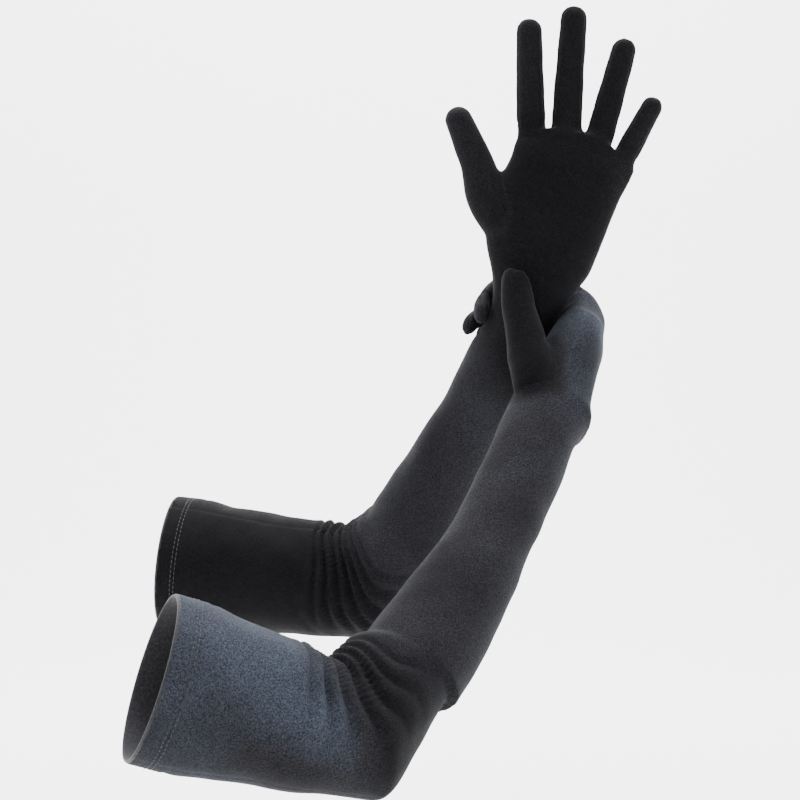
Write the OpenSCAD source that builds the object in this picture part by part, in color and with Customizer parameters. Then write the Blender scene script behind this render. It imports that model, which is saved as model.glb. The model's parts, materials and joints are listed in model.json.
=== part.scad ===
// A pair of elbow-length opera gloves in stretch velvet, as worn: the left glove
// holds an open hand, and the right glove's hand is closed round the left wrist.
// The origin is the centre of the left glove's cuff. +Z is up, +X runs from the cuffs
// towards the hands, and -Y is the side the open palm faces.

/* [Fabric] */
// Thickness of the velvet
wall = 0.8; // [0.6:0.1:1.2]
// Free space between pieces of cloth that move apart
cloth_gap = 0.6; // [0.4:0.1:1]
// Free space between the gripping hand and the wrist it holds
grip_gap = 0.7; // [0.5:0.1:1.5]

/* [Cuff] */
// Radius of the sleeve at its mouth
cuff_r = 43.5; // [36:0.5:53]
// Depth of the turned-in hem
hem_depth = 20; // [12:1:26]
// Distance of the first row of stitches from the mouth
stitch_place = 10; // [4:0.5:12]
// Distance between the two rows of stitches
stitch_rows_gap = 2.3; // [1.5:0.1:4]
// Radius of the stitching thread
thread_r = 0.3; // [0.2:0.05:0.4]

/* [Sleeve] */
// Radius of the sleeve half way along the upper arm
upper_mid_r = 39; // [33:0.5:47]
// Radius of the left sleeve at the elbow
left_elbow_r = 36; // [30:0.5:43]
// Radius of the right sleeve at the elbow
right_elbow_r = 33.5; // [28:0.5:40]
// Radius of the sleeve at the thick part of the forearm
forearm_r = 29.5; // [25:0.5:35]
// Radius of the sleeve at the thin part of the forearm
forearm_thin_r = 22.5; // [19:0.5:27]
// Radius of the wrist that the other hand squeezes
held_wrist_r = 18.5; // [16:0.5:22]
// Radius of the free wrist
wrist_r = 21.5; // [18:0.5:25]
// Left glove, from cuff to elbow
left_upper_len = 140; // [117:1:168]
// Right glove, from cuff to elbow
right_upper_len = 111; // [96:1:134]
// From elbow to wrist
forearm_len = 235; // [196:1:282]
// Length on each side of the elbow that gathers when the arm bends
elbow_gather = 44; // [38:1:50]
// How far the left forearm bows out of line
left_forearm_bow = 4; // [0:0.5:8]
// How far the right forearm bows out of line
right_forearm_bow = 9.5; // [0:0.5:10]

/* [Hand] */
// From the wrist to the web between the middle fingers
palm_len = 104; // [87:1:125]
// From the wrist to the knuckles
knuckle_len = 84; // [70:1:90]
// Half the thickness of the palm
palm_half = 15; // [12.5:0.5:18]
// Half the thickness of a finger
finger_half = 6.8; // [5.7:0.1:7.5]
// Length of the index finger, from the web to its tip
index_len = 66; // [55:1:80]
// Length of the middle finger
middle_len = 75; // [63:1:90]
// Length of the ring finger
ring_len = 62; // [52:1:74]
// Length of the little finger
little_len = 42; // [35:1:51]

/* [Pose] */
// Heading of the left upper arm
left_upper_heading = -6; // [-20:1:10]
// Rise of the left upper arm
left_upper_rise = -6; // [-15:1:10]
// Heading of the left forearm
left_fore_heading = -52; // [-65:1:-40]
// Rise of the left forearm
left_fore_rise = 50.4; // [40:1:60]
// Lean of the left hand away from upright
left_hand_lean = 12.6; // [5:0.1:20]
// Heading of the right forearm
right_fore_heading = 52; // [44:1:60]
// Rise of the right forearm
right_fore_rise = 43.5; // [36:0.5:50]
// Heading of the right upper arm
right_upper_heading = 14; // [0:1:25]
// Rise of the right upper arm
right_upper_rise = -17.5; // [-25:0.5:0]
// Heading of the gripping palm
grip_heading = 72; // [66:1:80]
// Rise of the gripping palm
grip_rise = 35; // [28:1:42]
// Place of the gripping knuckles round the wrist
grip_turn = 16; // [8:1:24]
// Distance of the grip below the wrist
grip_drop = 21; // [16:1:26]

/* [Hidden] */
$fn = 96;

// Points round a sleeve, round a finger, and round a thumb
SLEEVE_SIDES = 28;
FINGER_SIDES = 12;
VELVET = [0.12, 0.12, 0.15];
LINING = [0.2, 0.2, 0.24];
THREAD = [0.32, 0.32, 0.36];

// ---------------------------------------------------------------- directions
function heading(az, el) = [cos(el) * cos(az), cos(el) * sin(az), sin(el)];
function unit(v) = v / norm(v);
function square_to(v, axis) = unit(v - (v * axis) * axis);
function turned(v, axis, angle) =
    v * cos(angle) + cross(axis, v) * sin(angle) + axis * (axis * v) * (1 - cos(angle));
function blend(a, b, f) = a + (b - a) * f;
function ease(f) = f * f * (3 - 2 * f);
function quad_curve(a, m, b, f) = (1 - f) * (1 - f) * a + 2 * f * (1 - f) * m + f * f * b;
function quad_slope(a, m, b, f) = unit((1 - f) * (m - a) + f * (b - m));

// ---------------------------------------------------------------- skeleton
left_cuff = [0, 0, 0];
left_upper_dir = heading(left_upper_heading, left_upper_rise);
left_elbow = left_cuff + left_upper_len * left_upper_dir;
left_fore_dir = heading(left_fore_heading, left_fore_rise);
left_wrist = left_elbow + forearm_len * left_fore_dir;
left_hand_dir = [sin(left_hand_lean), 0, cos(left_hand_lean)];

// Where the forearm's middle control point lies, bowed to the outside of the elbow
function bow_point(cuff, elbow, wrist, bow) =
    let (upper = unit(elbow - cuff), fore = unit(wrist - elbow))
    (elbow + wrist) / 2 + 2 * bow * square_to(upper, fore);

// The held wrist is a cylinder: drop runs down the arm, turn runs round it
held_axis = unit(left_wrist - bow_point(left_cuff, left_elbow, left_wrist, left_forearm_bow));
held_right = square_to([1, 0, 0], held_axis);
held_back = cross(held_axis, held_right);
function round_wrist(drop, turn, rho) =
    left_wrist - drop * held_axis + rho * (cos(turn) * held_right + sin(turn) * held_back);

// The gripping palm stands off the held wrist by its own thickness and its arch
knuckle_half = palm_half - 2;
palm_arch = 4.4;
knuckle_rho = held_wrist_r + grip_gap + knuckle_half + palm_arch;
right_knuckles = round_wrist(grip_drop, grip_turn, knuckle_rho);
right_hand_dir = heading(grip_heading, grip_rise);
right_wrist = right_knuckles - knuckle_len * right_hand_dir;
right_palm_dir = square_to(left_wrist - round_wrist(0, grip_turn - 20, 1), right_hand_dir);
right_elbow = right_wrist - forearm_len * heading(right_fore_heading, right_fore_rise);
right_cuff = right_elbow - right_upper_len * heading(right_upper_heading, right_upper_rise);

// Radius of the held arm at a drop below its wrist. From a little below the wrist upwards
// the arm widens into the hand, most of all on the hand's little finger side and back.
hand_flare = [[0, 0.27], [30, 0.39], [60, 0.39], [90, 0.47], [120, 0.77], [150, 0.77],
              [180, 0.47], [210, 0.15], [240, 0], [330, 0.05], [360, 0.27]];
flare_start = 12;
function held_radius(drop, turn) =
    fore_radius(LEFT_ARM, forearm_len - max(0, drop))
    + max(0, flare_start - drop) * lookup(turn, hand_flare);
// Keeps the gripping hand's cloth off the wrist it holds
press_margin = 0.7;
function off_wrist(hand, p, inset) =
    let (from = p - left_wrist,
         drop = -(from * held_axis),
         out = from + drop * held_axis,
         turn = (atan2(out * held_back, out * held_right) + 360) % 360,
         least = held_radius(drop, turn) + grip_gap + press_margin + inset)
    hand[5] < 0 && norm(out) < least ? p + (least - norm(out)) * unit(out) : p;

// Each arm: cuff, elbow, wrist, length of the upper arm, radius at the wrist and at the
// elbow, and the middle control point of the forearm's curve
LEFT_ARM = [left_cuff, left_elbow, left_wrist, left_upper_len, held_wrist_r, left_elbow_r,
            bow_point(left_cuff, left_elbow, left_wrist, left_forearm_bow)];
RIGHT_ARM = [right_cuff, right_elbow, right_wrist, right_upper_len, wrist_r, right_elbow_r,
             bow_point(right_cuff, right_elbow, right_wrist, right_forearm_bow)];

// Each hand: wrist, direction, palm side, side the little finger is on, bend at the
// knuckles, and 1 or -1 for which way its sections run round it
LEFT_HAND = [left_wrist, left_hand_dir, [0, -1, 0],
             cross(left_hand_dir, [0, -1, 0]), 0.01, 1];
RIGHT_HAND = [right_wrist, right_hand_dir, right_palm_dir,
              cross(right_palm_dir, right_hand_dir), 86, -1];

// ---------------------------------------------------------------- cloth
// A closed sheet of cloth from two matching grids of points, its outer and inner face.
// Rings run along the first index and close on themselves along the second. keep(i, j)
// says which cells the piece covers, so several pieces share one tube edge to edge.
module cloth(outer, inner, keep) {
    rings = len(outer);
    sides = len(outer[0]);
    count = rings * sides;
    function at(i, j) = i * sides + (j + sides) % sides;
    function kept(i, j) = i >= 0 && i < rings - 1 && keep(i, (j + sides) % sides);
    // Both pieces that meet at an edge split its face along the same diagonal
    function strip(a, b) =
        a < b ? [[a, b, b + count], [a, b + count, a + count]]
        : [[a, b, a + count], [b, b + count, a + count]];
    skin = [
        for (i = [0 : rings - 2])
            for (j = [0 : sides - 1])
                if (kept(i, j))
                    for (tri = [[at(i, j), at(i + 1, j + 1), at(i, j + 1)],
                                [at(i, j), at(i + 1, j), at(i + 1, j + 1)]])
                        tri];
    lining = [for (tri = skin) [tri[0] + count, tri[2] + count, tri[1] + count]];
    edges = [
        for (i = [0 : rings - 2])
            for (j = [0 : sides - 1])
                if (kept(i, j))
                    for (side = [[kept(i - 1, j), at(i, j), at(i, j + 1)],
                                 [kept(i + 1, j), at(i + 1, j + 1), at(i + 1, j)],
                                 [kept(i, j - 1), at(i + 1, j), at(i, j)],
                                 [kept(i, j + 1), at(i, j + 1), at(i + 1, j + 1)]])
                        if (!side[0])
                            for (tri = strip(side[1], side[2]))
                                tri];
    polyhedron(concat([for (ring = outer) each ring], [for (ring = inner) each ring]),
               concat(skin, lining, edges), convexity = 6);
}

function oval(centre, x, y, rx_front, rx_back, ry_front, ry_back, sides) = [
    for (j = [0 : sides - 1])
        let (c = cos(360 * j / sides), s = sin(360 * j / sides))
        centre + x * c * (c > 0 ? rx_front : rx_back) + y * s * (s > 0 ? ry_front : ry_back)];

// ---------------------------------------------------------------- sleeve
function arm_upper(arm) = unit(arm[1] - arm[0]);
function arm_fore(arm) = unit(arm[2] - arm[1]);
function arm_away(arm) = -unit(cross(arm_upper(arm), arm_fore(arm)));
function upper_out(arm) = -square_to(arm_fore(arm), arm_upper(arm));
function upper_radius(arm, s) =
    lookup(s, [[0, cuff_r], [hem_depth, cuff_r], [2 * hem_depth, blend(upper_mid_r, cuff_r, 0.4)],
               [arm[3] / 2, upper_mid_r], [arm[3], arm[5]]]);
function fore_radius(arm, s) =
    lookup(s / forearm_len, [[0, arm[5]], [0.14, blend(forearm_r, arm[5], 0.4)], [0.28, forearm_r],
                             [0.48, 0.5 * (forearm_r + forearm_thin_r)], [0.66, forearm_thin_r],
                             [0.82, forearm_thin_r], [0.92, arm[4] + 1], [1, arm[4]]]);

function upper_rings(arm, inset) = [
    for (s = [0, hem_depth, 2 * hem_depth, arm[3] / 2, arm[3] - elbow_gather])
        let (r = upper_radius(arm, s) - inset)
        oval(arm[0] + s * arm_upper(arm), upper_out(arm), arm_away(arm), r, r, r, r, SLEEVE_SIDES)];

// The gathers at the elbow fan round a pivot on the inside of the bend
GATHER_STEPS = 8;
function gather_rings(arm, inset) =
    let (bend = acos(arm_upper(arm) * arm_fore(arm)),
         outward = unit(arm_upper(arm) - arm_fore(arm)),
         pivot = arm[1] - outward * elbow_gather / sin(bend / 2),
         reach = elbow_gather / tan(bend / 2),
         r_start = upper_radius(arm, arm[3] - elbow_gather),
         r_end = fore_radius(arm, elbow_gather))
    [for (k = [0 : GATHER_STEPS])
        let (f = k / GATHER_STEPS,
             angle = bend * (f - 0.5),
             r = (f < 0.5 ? blend(r_start, arm[5], 2 * f) : blend(arm[5], r_end, 2 * f - 1)) - inset,
             stretch = 1 / cos(bend / 2 - abs(angle)),
             x = turned(outward, -arm_away(arm), angle),
             middle = reach * stretch,
             far_side = (reach + r) * (1 + 0.75 * (stretch - 1)),
             near_side = (reach - r) * stretch)
        oval(pivot + middle * x, x, arm_away(arm), far_side - middle, middle - near_side, r, r,
             SLEEVE_SIDES)];

function fore_point(arm, s) =
    quad_curve(arm[1], arm[6], arm[2], s / forearm_len);
function fore_ring(arm, s, inset) =
    let (t = quad_slope(arm[1], arm[6], arm[2], s / forearm_len),
         r = fore_radius(arm, s) - inset)
    oval(fore_point(arm, s), cross(arm_away(arm), t), arm_away(arm), r, r, r, r, SLEEVE_SIDES);
// Where the forearm's pieces stop and the wrist gathers start
fore_end = forearm_len - 14;
function fore_rings(arm, inset) = [
    for (k = [0 : 7])
        let (s = k == 0 ? 0 : blend(elbow_gather, fore_end, k / 7))
        k == 0 ? gather_rings(arm, inset)[GATHER_STEPS] : fore_ring(arm, s, inset)];

// ---------------------------------------------------------------- palm
// Half widths on the thumb side and on the little finger's side, and half thickness
function thumb_reach(hand, l) =
    let (w = hand[5] > 0 ? held_wrist_r : wrist_r)
    lookup(l / palm_len, [[0, w + 2], [0.08, w + 3], [0.19, 29], [0.34, 35.5], [0.48, 39],
                          [0.6, 37.5], [0.72, 32], [0.84, 29.5], [1, hand[5] > 0 ? 29 : 27.5]]);
function little_reach(hand, l) =
    let (w = hand[5] > 0 ? held_wrist_r : wrist_r)
    lookup(l / palm_len, [[0, w + 2], [0.08, w + 3], [0.19, 29], [0.34, 32.5], [0.48, 35.5],
                          [0.7, 39.5], [1, hand[5] > 0 ? 45 : 32.5]]);
function thickness(hand, l) =
    let (w = hand[5] > 0 ? held_wrist_r : wrist_r)
    lookup(l / palm_len, [[0, w], [0.19, palm_half + 3], [0.5, palm_half + 1], [0.8, knuckle_half],
                          [1, finger_half + wall + 2]]);
// How far the web lies back from palm_len, across the hand
function web_back(a) =
    lookup(a, [[-30, 5], [-20, 3], [0, 0], [20, 0], [28, 3], [36, 9], [44, 14]]);

function knuckle_arc(hand) = (palm_len - knuckle_len) / (hand[4] * PI / 180);
function bend_at(hand, l) =
    hand[4] * max(0, min(1, (l - knuckle_len) / (palm_len - knuckle_len)));
function hand_dir(hand, l) =
    let (b = bend_at(hand, l)) hand[1] * cos(b) + hand[2] * sin(b);
function hand_palm(hand, l) =
    let (b = bend_at(hand, l)) hand[2] * cos(b) - hand[1] * sin(b);
// A point at l along the hand, a across it to the little finger, h out of the palm
function in_hand(hand, l, a, h) =
    let (b = bend_at(hand, l),
         r = knuckle_arc(hand),
         spine = hand[0] + min(l, knuckle_len) * hand[1]
             + r * (sin(b) * hand[1] + (1 - cos(b)) * hand[2])
             + max(0, l - palm_len) * hand_dir(hand, l))
    spine + a * hand[3] + h * hand_palm(hand, l);
// Angles round the hand: 0 little finger's side, 90 back, 180 thumb side, 270 palm
function round_angle(hand, j, sides) =
    let (a = hand[5] > 0 ? 360 * j / sides : 90 - 360 * j / sides)
    (a + 720) % 360;
PALM_POWER = 0.8;
// How much further the closed hand's back stands out than its palm
FIST_BULGE = 1.2;
function rounded(t) = sign(t) * pow(abs(t), PALM_POWER);
function palm_ring(hand, l, inset) = [
    for (j = [0 : SLEEVE_SIDES - 1])
        let (angle = round_angle(hand, j, SLEEVE_SIDES),
             reach = cos(angle) > 0 ? little_reach(hand, l) : thumb_reach(hand, l),
             a = rounded(cos(angle)) * (reach - inset),
             bulge = sin(angle) > 0 && hand[5] < 0 ? FIST_BULGE : 1,
             h = -rounded(sin(angle)) * (bulge * thickness(hand, l) - inset),
             back = web_back(a) * max(0, (l - 0.7 * palm_len) / (0.3 * palm_len)))
        off_wrist(hand, in_hand(hand, l - back, a, h), inset)];
// The rings of the palm; the thumb's opening lies between rings 1 and 4
function palm_places(hand) =
    concat(hand[5] > 0 ? [20, 30, 42, 54, 64] : [3, 7, 19, 32, 44, 54, 64],
           [0.72 * palm_len, knuckle_len, 0.5 * (knuckle_len + palm_len), palm_len]);
function palm_rings(hand, inset) = [for (l = palm_places(hand)) palm_ring(hand, l, inset)];
// The opening for the thumb: cells round the hand, counted from the little finger's side
HOLE_ROWS = [1, 4];
function hole_angles(hand) = hand[5] > 0 ? [167, 245] : [192, 271];
function cell_angle(hand, j) =
    let (a = round_angle(hand, j, SLEEVE_SIDES), b = round_angle(hand, j + 1, SLEEVE_SIDES))
    (abs(a - b) > 180 ? (a + b + 360) / 2 : (a + b) / 2) % 360;
function in_hole(hand, i, j) =
    let (a = cell_angle(hand, j), span = hole_angles(hand))
    i >= HOLE_ROWS[0] && i < HOLE_ROWS[1] && a > span[0] && a < span[1];
// The palm panel wraps a little way round the thumb side
PALM_PANEL_START = 154;

// The wrist gathers blend the sleeve's last ring into the palm's first
WRIST_STEPS = 4;
function wrist_rings(arm, hand, inset) =
    let (start = fore_ring(arm, fore_end, inset),
         end = palm_ring(hand, palm_places(hand)[0], inset),
         low = fore_ring(arm, forearm_len - 5, inset))
    [for (k = [0 : WRIST_STEPS])
        let (f = k / WRIST_STEPS)
        [for (j = [0 : SLEEVE_SIDES - 1])
            k == 0 ? start[j] : k == WRIST_STEPS ? end[j]
            : let (join = (low[j] + palm_ring(hand, 2, inset)[j]) / 2)
              quad_curve(start[j], join, end[j], f)]];

// ---------------------------------------------------------------- fingers
// One finger: place across the web, length, half width at its base and at its tip,
// spread towards the little finger, and the bends at its two joints
function finger_table(hand) = hand[5] > 0
    ? [[-21.6, index_len, 8.8, 7.5, -14, 3, 3], [-0.8, middle_len, 9.2, 7.8, -9, 3, 2],
       [19.4, ring_len, 8.6, 7.2, 3, 3, 2], [36.2, little_len, 7.5, 5.9, 16, 3, 2]]
    : [[-21.2, index_len, 7.1, 6.4, -4, 52, 46], [-5.7, middle_len, 7.1, 6.6, 0, 48, 42],
       [9.3, ring_len, 6.9, 6.2, 0, 44, 44], [23.6, little_len, 6.4, 5.4, 0, 40, 40]];

FINGER_STEPS = 12;
function finger_place(len, k, tip_r) =
    k <= FINGER_STEPS - 3 ? blend(3.5, len - tip_r, (k - 1) / (FINGER_STEPS - 4))
    : len - tip_r * [0.52, 0.2, 0.03][k - (FINGER_STEPS - 2)];
function finger_bend(f, s, len) =
    f[5] * ease(max(0, min(1, (s / len - 0.3) / 0.16)))
    + f[6] * ease(max(0, min(1, (s / len - 0.62) / 0.14)));
function finger_rings(hand, f, inset) =
    let (len = f[1] - inset,
         tip_r = f[3] - inset,
         base_l = palm_len - web_back(f[0]) + cloth_gap,
         across = hand[3] * cos(f[4]) + hand_dir(hand, palm_len) * -sin(f[4]),
         ahead = hand_dir(hand, palm_len) * cos(f[4]) + hand[3] * sin(f[4]),
         inward = hand_palm(hand, palm_len),
         base = in_hand(hand, base_l, f[0], 0),
         places = [for (k = [1 : FINGER_STEPS]) finger_place(len, k, tip_r)],
         spine = [for (k = 0, s = 0, p = base; k <= FINGER_STEPS;
                       next = places[min(k, FINGER_STEPS - 1)],
                       b = finger_bend(f, (next + s) / 2, len),
                       p = p + (next - s) * (ahead * cos(b) + inward * sin(b)),
                       s = next,
                       k = k + 1) off_wrist(hand, p, finger_half)])
    concat(
        [finger_base(hand, f, inset)],
        [for (k = [1 : FINGER_STEPS])
            let (s = places[k - 1],
                 b = finger_bend(f, s, len),
                 up = inward * cos(b) - ahead * sin(b),
                 over = max(0, (s - (len - tip_r)) / tip_r),
                 close = sqrt(1 - over * over),
                 w = (blend(f[2], f[3], s / len) - inset) * close,
                 h = (finger_half * blend(1.04, 0.9, s / len) - inset) * close)
            [for (j = [0 : FINGER_SIDES - 1])
                let (angle = round_angle(hand, j, FINGER_SIDES))
                off_wrist(hand, spine[k] + w * cos(angle) * across - h * sin(angle) * up, inset)]]);
// The first ring of a finger follows the web's edge
function finger_base(hand, f, inset) = [
    for (j = [0 : FINGER_SIDES - 1])
        let (angle = round_angle(hand, j, FINGER_SIDES),
             a = f[0] + (f[2] - inset) * cos(angle),
             h = -(finger_half * 1.04 - inset) * sin(angle))
        off_wrist(hand, in_hand(hand, palm_len - web_back(a) + cloth_gap, a, h), inset)];
function finger_cell(hand, j) =
    let (a = round_angle(hand, j, FINGER_SIDES), b = round_angle(hand, j + 1, FINGER_SIDES))
    (abs(a - b) > 180 ? (a + b + 360) / 2 : (a + b) / 2) % 360;

// ---------------------------------------------------------------- thumb
// Rings up the thumb: along the hand, across it, out of the palm, radius
function thumb_table(hand) = hand[5] > 0
    ? [[58, -40, 3, 12.5], [66, -44.5, 4, 11], [74, -49, 4, 9.9], [84, -56.5, 6, 9],
       [93, -63, 7.5, 7.4], [99, -67.4, 8, 4.8], [102.3, -69.8, 8.3, 1.5]]
    : [[20, -21, 22.5, 12.5], [27, -24.5, 26, 11.5], [35, -29.5, 32, 10.4], [43.5, -34.8, 38.8, 9.7],
       [50, -39.5, 43, 8.6], [56, -44, 46, 6.8], [60, -47, 47.8, 4.4], [61.8, -48.5, 48.6, 1.4]];
function hole_columns(hand) =
    [for (j = [0 : SLEEVE_SIDES - 1]) if (in_hole(hand, HOLE_ROWS[0], j)) j];
function hole_loop(hand, inset) =
    let (rings = palm_rings(hand, inset),
         cols = hole_columns(hand),
         first = cols[0],
         last = cols[len(cols) - 1] + 1,
         low = HOLE_ROWS[0],
         high = HOLE_ROWS[1])
    concat([for (j = [first : last - 1]) rings[low][j]],
           [for (i = [low : high - 1]) rings[i][last]],
           [for (j = [last : -1 : first + 1]) rings[high][j]],
           [for (i = [high : -1 : low + 1]) rings[i][first]]);
// Keeps a point of the open hand's thumb outside the palm's edge
function off_palm(hand, p, inset) =
    let (l = (p - hand[0]) * hand[1],
         a = (p - hand[0]) * hand[3],
         h = (p - hand[0]) * hand[2],
         up = pow(min(1, abs(h) / thickness(hand, l)), 1 / PALM_POWER),
         edge = -thumb_reach(hand, l) * pow(1 - up * up, PALM_POWER / 2) - cloth_gap - inset)
    hand[5] > 0 && a > edge ? p + (edge - a) * hand[3] : p;
function middle_of(points) = ([for (p = points) 1] * points) / len(points);
// How far the thumb's first ring shrinks into its opening, as a share
THUMB_SHRINK = 0.04;
function thumb_rings(hand, inset) =
    let (table = thumb_table(hand),
         centres = [for (row = table) in_hand(hand, row[0], row[1], row[2])],
         loop = hole_loop(hand, inset),
         middle = middle_of(loop),
         away = square_to(centres[0] - middle, hand[1]))
    concat(
        [[for (p = loop)
            p + cloth_gap * away + THUMB_SHRINK * ((middle - p) * hand[1]) * hand[1]]],
        [for (k = [0 : len(table) - 1])
            let (before = k == 0 ? middle : centres[k - 1],
                 after = k == len(table) - 1 ? centres[k] : centres[k + 1],
                 t = unit(after - before),
                 y = square_to(hand[1], t),
                 x = cross(y, t),
                 at_tip = k == len(table) - 1,
                 tip_in = at_tip ? inset : 0,
                 r = table[k][3] - (at_tip ? inset / 2 : inset))
            [for (m = [0 : len(loop) - 1])
                let (angle = 210 + 360 * m / len(loop))
                off_palm(hand, centres[k] - tip_in * t + r * (cos(angle) * x + sin(angle) * y),
                         inset)]]);

// ---------------------------------------------------------------- pieces
function between(a, from, to) = from < to ? a > from && a < to : a > from || a < to;

// Puts a part drawn along +Z at the cuff, with +Z running into the sleeve
module at_cuff(arm) {
    z = arm_upper(arm);
    x = upper_out(arm);
    y = cross(z, x);
    multmatrix([[x[0], y[0], z[0], arm[0][0]],
                [x[1], y[1], z[1], arm[0][1]],
                [x[2], y[2], z[2], arm[0][2]],
                [0, 0, 0, 1]])
        children();
}

// The sleeve's edge turned inwards: a lip over the mouth and a facing inside it
facing_outer_r = (cuff_r - wall) * cos(180 / SLEEVE_SIDES) - 0.1;
facing_inner_r = facing_outer_r - wall;
module hem_facing(arm)
    color(LINING)
        at_cuff(arm)
            rotate_extrude()
                union() {
                    translate([facing_inner_r, -wall])
                        square([cuff_r - facing_inner_r, wall]);
                    translate([facing_inner_r, -wall / 2])
                        square([wall, hem_depth + wall / 2]);
                }

// Two rows of thread lying on the sleeve
module hem_stitching(arm)
    color(THREAD)
        at_cuff(arm)
            for (row = [0, 1])
                translate([0, 0, stitch_place + row * stitch_rows_gap])
                    rotate_extrude()
                        translate([cuff_r + thread_r + 0.05, 0])
                            circle(r = thread_r, $fn = 16);

// half is 0 for the half of the tube on the +Y side, 1 for the half on the -Y side
function half_tube(half) = function(i, j) half == 0 ? j < SLEEVE_SIDES / 2 : j >= SLEEVE_SIDES / 2;
module upper_sleeve(arm, half)
    color(VELVET)
        cloth(upper_rings(arm, 0), upper_rings(arm, wall), half_tube(half));
module elbow_gathers(arm)
    color(VELVET)
        cloth(gather_rings(arm, 0), gather_rings(arm, wall), function(i, j) true);
module forearm(arm, half)
    color(VELVET)
        cloth(fore_rings(arm, 0), fore_rings(arm, wall), half_tube(half));
module wrist_gathers(arm, hand)
    color(VELVET)
        cloth(wrist_rings(arm, hand, 0), wrist_rings(arm, hand, wall), function(i, j) true);

module palm_panel(hand)
    color(VELVET)
        cloth(palm_rings(hand, 0), palm_rings(hand, wall),
              function(i, j) cell_angle(hand, j) > PALM_PANEL_START && !in_hole(hand, i, j));
module back_panel(hand)
    color(VELVET)
        cloth(palm_rings(hand, 0), palm_rings(hand, wall),
              function(i, j) cell_angle(hand, j) < PALM_PANEL_START);
module thumb_panel(hand)
    color(VELVET)
        cloth(thumb_rings(hand, 0), thumb_rings(hand, wall), function(i, j) true);

// A strip of one finger between two angles round it
module finger_strip(hand, finger, from, to)
    color(VELVET) {
        f = finger_table(hand)[finger];
        cloth(finger_rings(hand, f, 0), finger_rings(hand, f, wall),
              function(i, j) between(finger_cell(hand, j), from, to));
    }
FINGERS = ["index", "middle", "ring", "little"];
// Where each strip starts and ends round its finger
THUMB_SIDE = 150;
PALM_SIDE = 210;
LITTLE_SIDE = 330;
BACK_SIDE = 30;

hem_facing(LEFT_ARM);  // left_hem_facing
hem_stitching(LEFT_ARM);  // left_hem_stitching
upper_sleeve(LEFT_ARM, 1);  // left_upper_front
upper_sleeve(LEFT_ARM, 0);  // left_upper_back
elbow_gathers(LEFT_ARM);  // left_elbow_gathers
forearm(LEFT_ARM, 1);  // left_forearm_front
forearm(LEFT_ARM, 0);  // left_forearm_back
wrist_gathers(LEFT_ARM, LEFT_HAND);  // left_wrist_gathers
palm_panel(LEFT_HAND);  // left_palm_panel
back_panel(LEFT_HAND);  // left_back_panel
thumb_panel(LEFT_HAND);  // left_thumb_panel
finger_strip(LEFT_HAND, 0, THUMB_SIDE, LITTLE_SIDE);  // left_index_front
finger_strip(LEFT_HAND, 0, BACK_SIDE, THUMB_SIDE);  // left_index_back
finger_strip(LEFT_HAND, 0, LITTLE_SIDE, BACK_SIDE);  // left_index_fourchette
finger_strip(LEFT_HAND, 1, PALM_SIDE, LITTLE_SIDE);  // left_middle_front
finger_strip(LEFT_HAND, 1, BACK_SIDE, THUMB_SIDE);  // left_middle_back
finger_strip(LEFT_HAND, 1, THUMB_SIDE, PALM_SIDE);  // left_middle_thumb_side_fourchette
finger_strip(LEFT_HAND, 1, LITTLE_SIDE, BACK_SIDE);  // left_middle_little_side_fourchette
finger_strip(LEFT_HAND, 2, PALM_SIDE, LITTLE_SIDE);  // left_ring_front
finger_strip(LEFT_HAND, 2, BACK_SIDE, THUMB_SIDE);  // left_ring_back
finger_strip(LEFT_HAND, 2, THUMB_SIDE, PALM_SIDE);  // left_ring_thumb_side_fourchette
finger_strip(LEFT_HAND, 2, LITTLE_SIDE, BACK_SIDE);  // left_ring_little_side_fourchette
finger_strip(LEFT_HAND, 3, PALM_SIDE, BACK_SIDE);  // left_little_front
finger_strip(LEFT_HAND, 3, BACK_SIDE, THUMB_SIDE);  // left_little_back
finger_strip(LEFT_HAND, 3, THUMB_SIDE, PALM_SIDE);  // left_little_fourchette
hem_facing(RIGHT_ARM);  // right_hem_facing
hem_stitching(RIGHT_ARM);  // right_hem_stitching
upper_sleeve(RIGHT_ARM, 1);  // right_upper_front
upper_sleeve(RIGHT_ARM, 0);  // right_upper_back
elbow_gathers(RIGHT_ARM);  // right_elbow_gathers
forearm(RIGHT_ARM, 1);  // right_forearm_front
forearm(RIGHT_ARM, 0);  // right_forearm_back
wrist_gathers(RIGHT_ARM, RIGHT_HAND);  // right_wrist_gathers
palm_panel(RIGHT_HAND);  // right_palm_panel
back_panel(RIGHT_HAND);  // right_back_panel
thumb_panel(RIGHT_HAND);  // right_thumb_panel
finger_strip(RIGHT_HAND, 0, THUMB_SIDE, LITTLE_SIDE);  // right_index_front
finger_strip(RIGHT_HAND, 0, BACK_SIDE, THUMB_SIDE);  // right_index_back
finger_strip(RIGHT_HAND, 0, LITTLE_SIDE, BACK_SIDE);  // right_index_fourchette
finger_strip(RIGHT_HAND, 1, PALM_SIDE, LITTLE_SIDE);  // right_middle_front
finger_strip(RIGHT_HAND, 1, BACK_SIDE, THUMB_SIDE);  // right_middle_back
finger_strip(RIGHT_HAND, 1, THUMB_SIDE, PALM_SIDE);  // right_middle_thumb_side_fourchette
finger_strip(RIGHT_HAND, 1, LITTLE_SIDE, BACK_SIDE);  // right_middle_little_side_fourchette
finger_strip(RIGHT_HAND, 2, PALM_SIDE, LITTLE_SIDE);  // right_ring_front
finger_strip(RIGHT_HAND, 2, BACK_SIDE, THUMB_SIDE);  // right_ring_back
finger_strip(RIGHT_HAND, 2, THUMB_SIDE, PALM_SIDE);  // right_ring_thumb_side_fourchette
finger_strip(RIGHT_HAND, 2, LITTLE_SIDE, BACK_SIDE);  // right_ring_little_side_fourchette
finger_strip(RIGHT_HAND, 3, PALM_SIDE, BACK_SIDE);  // right_little_front
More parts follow.
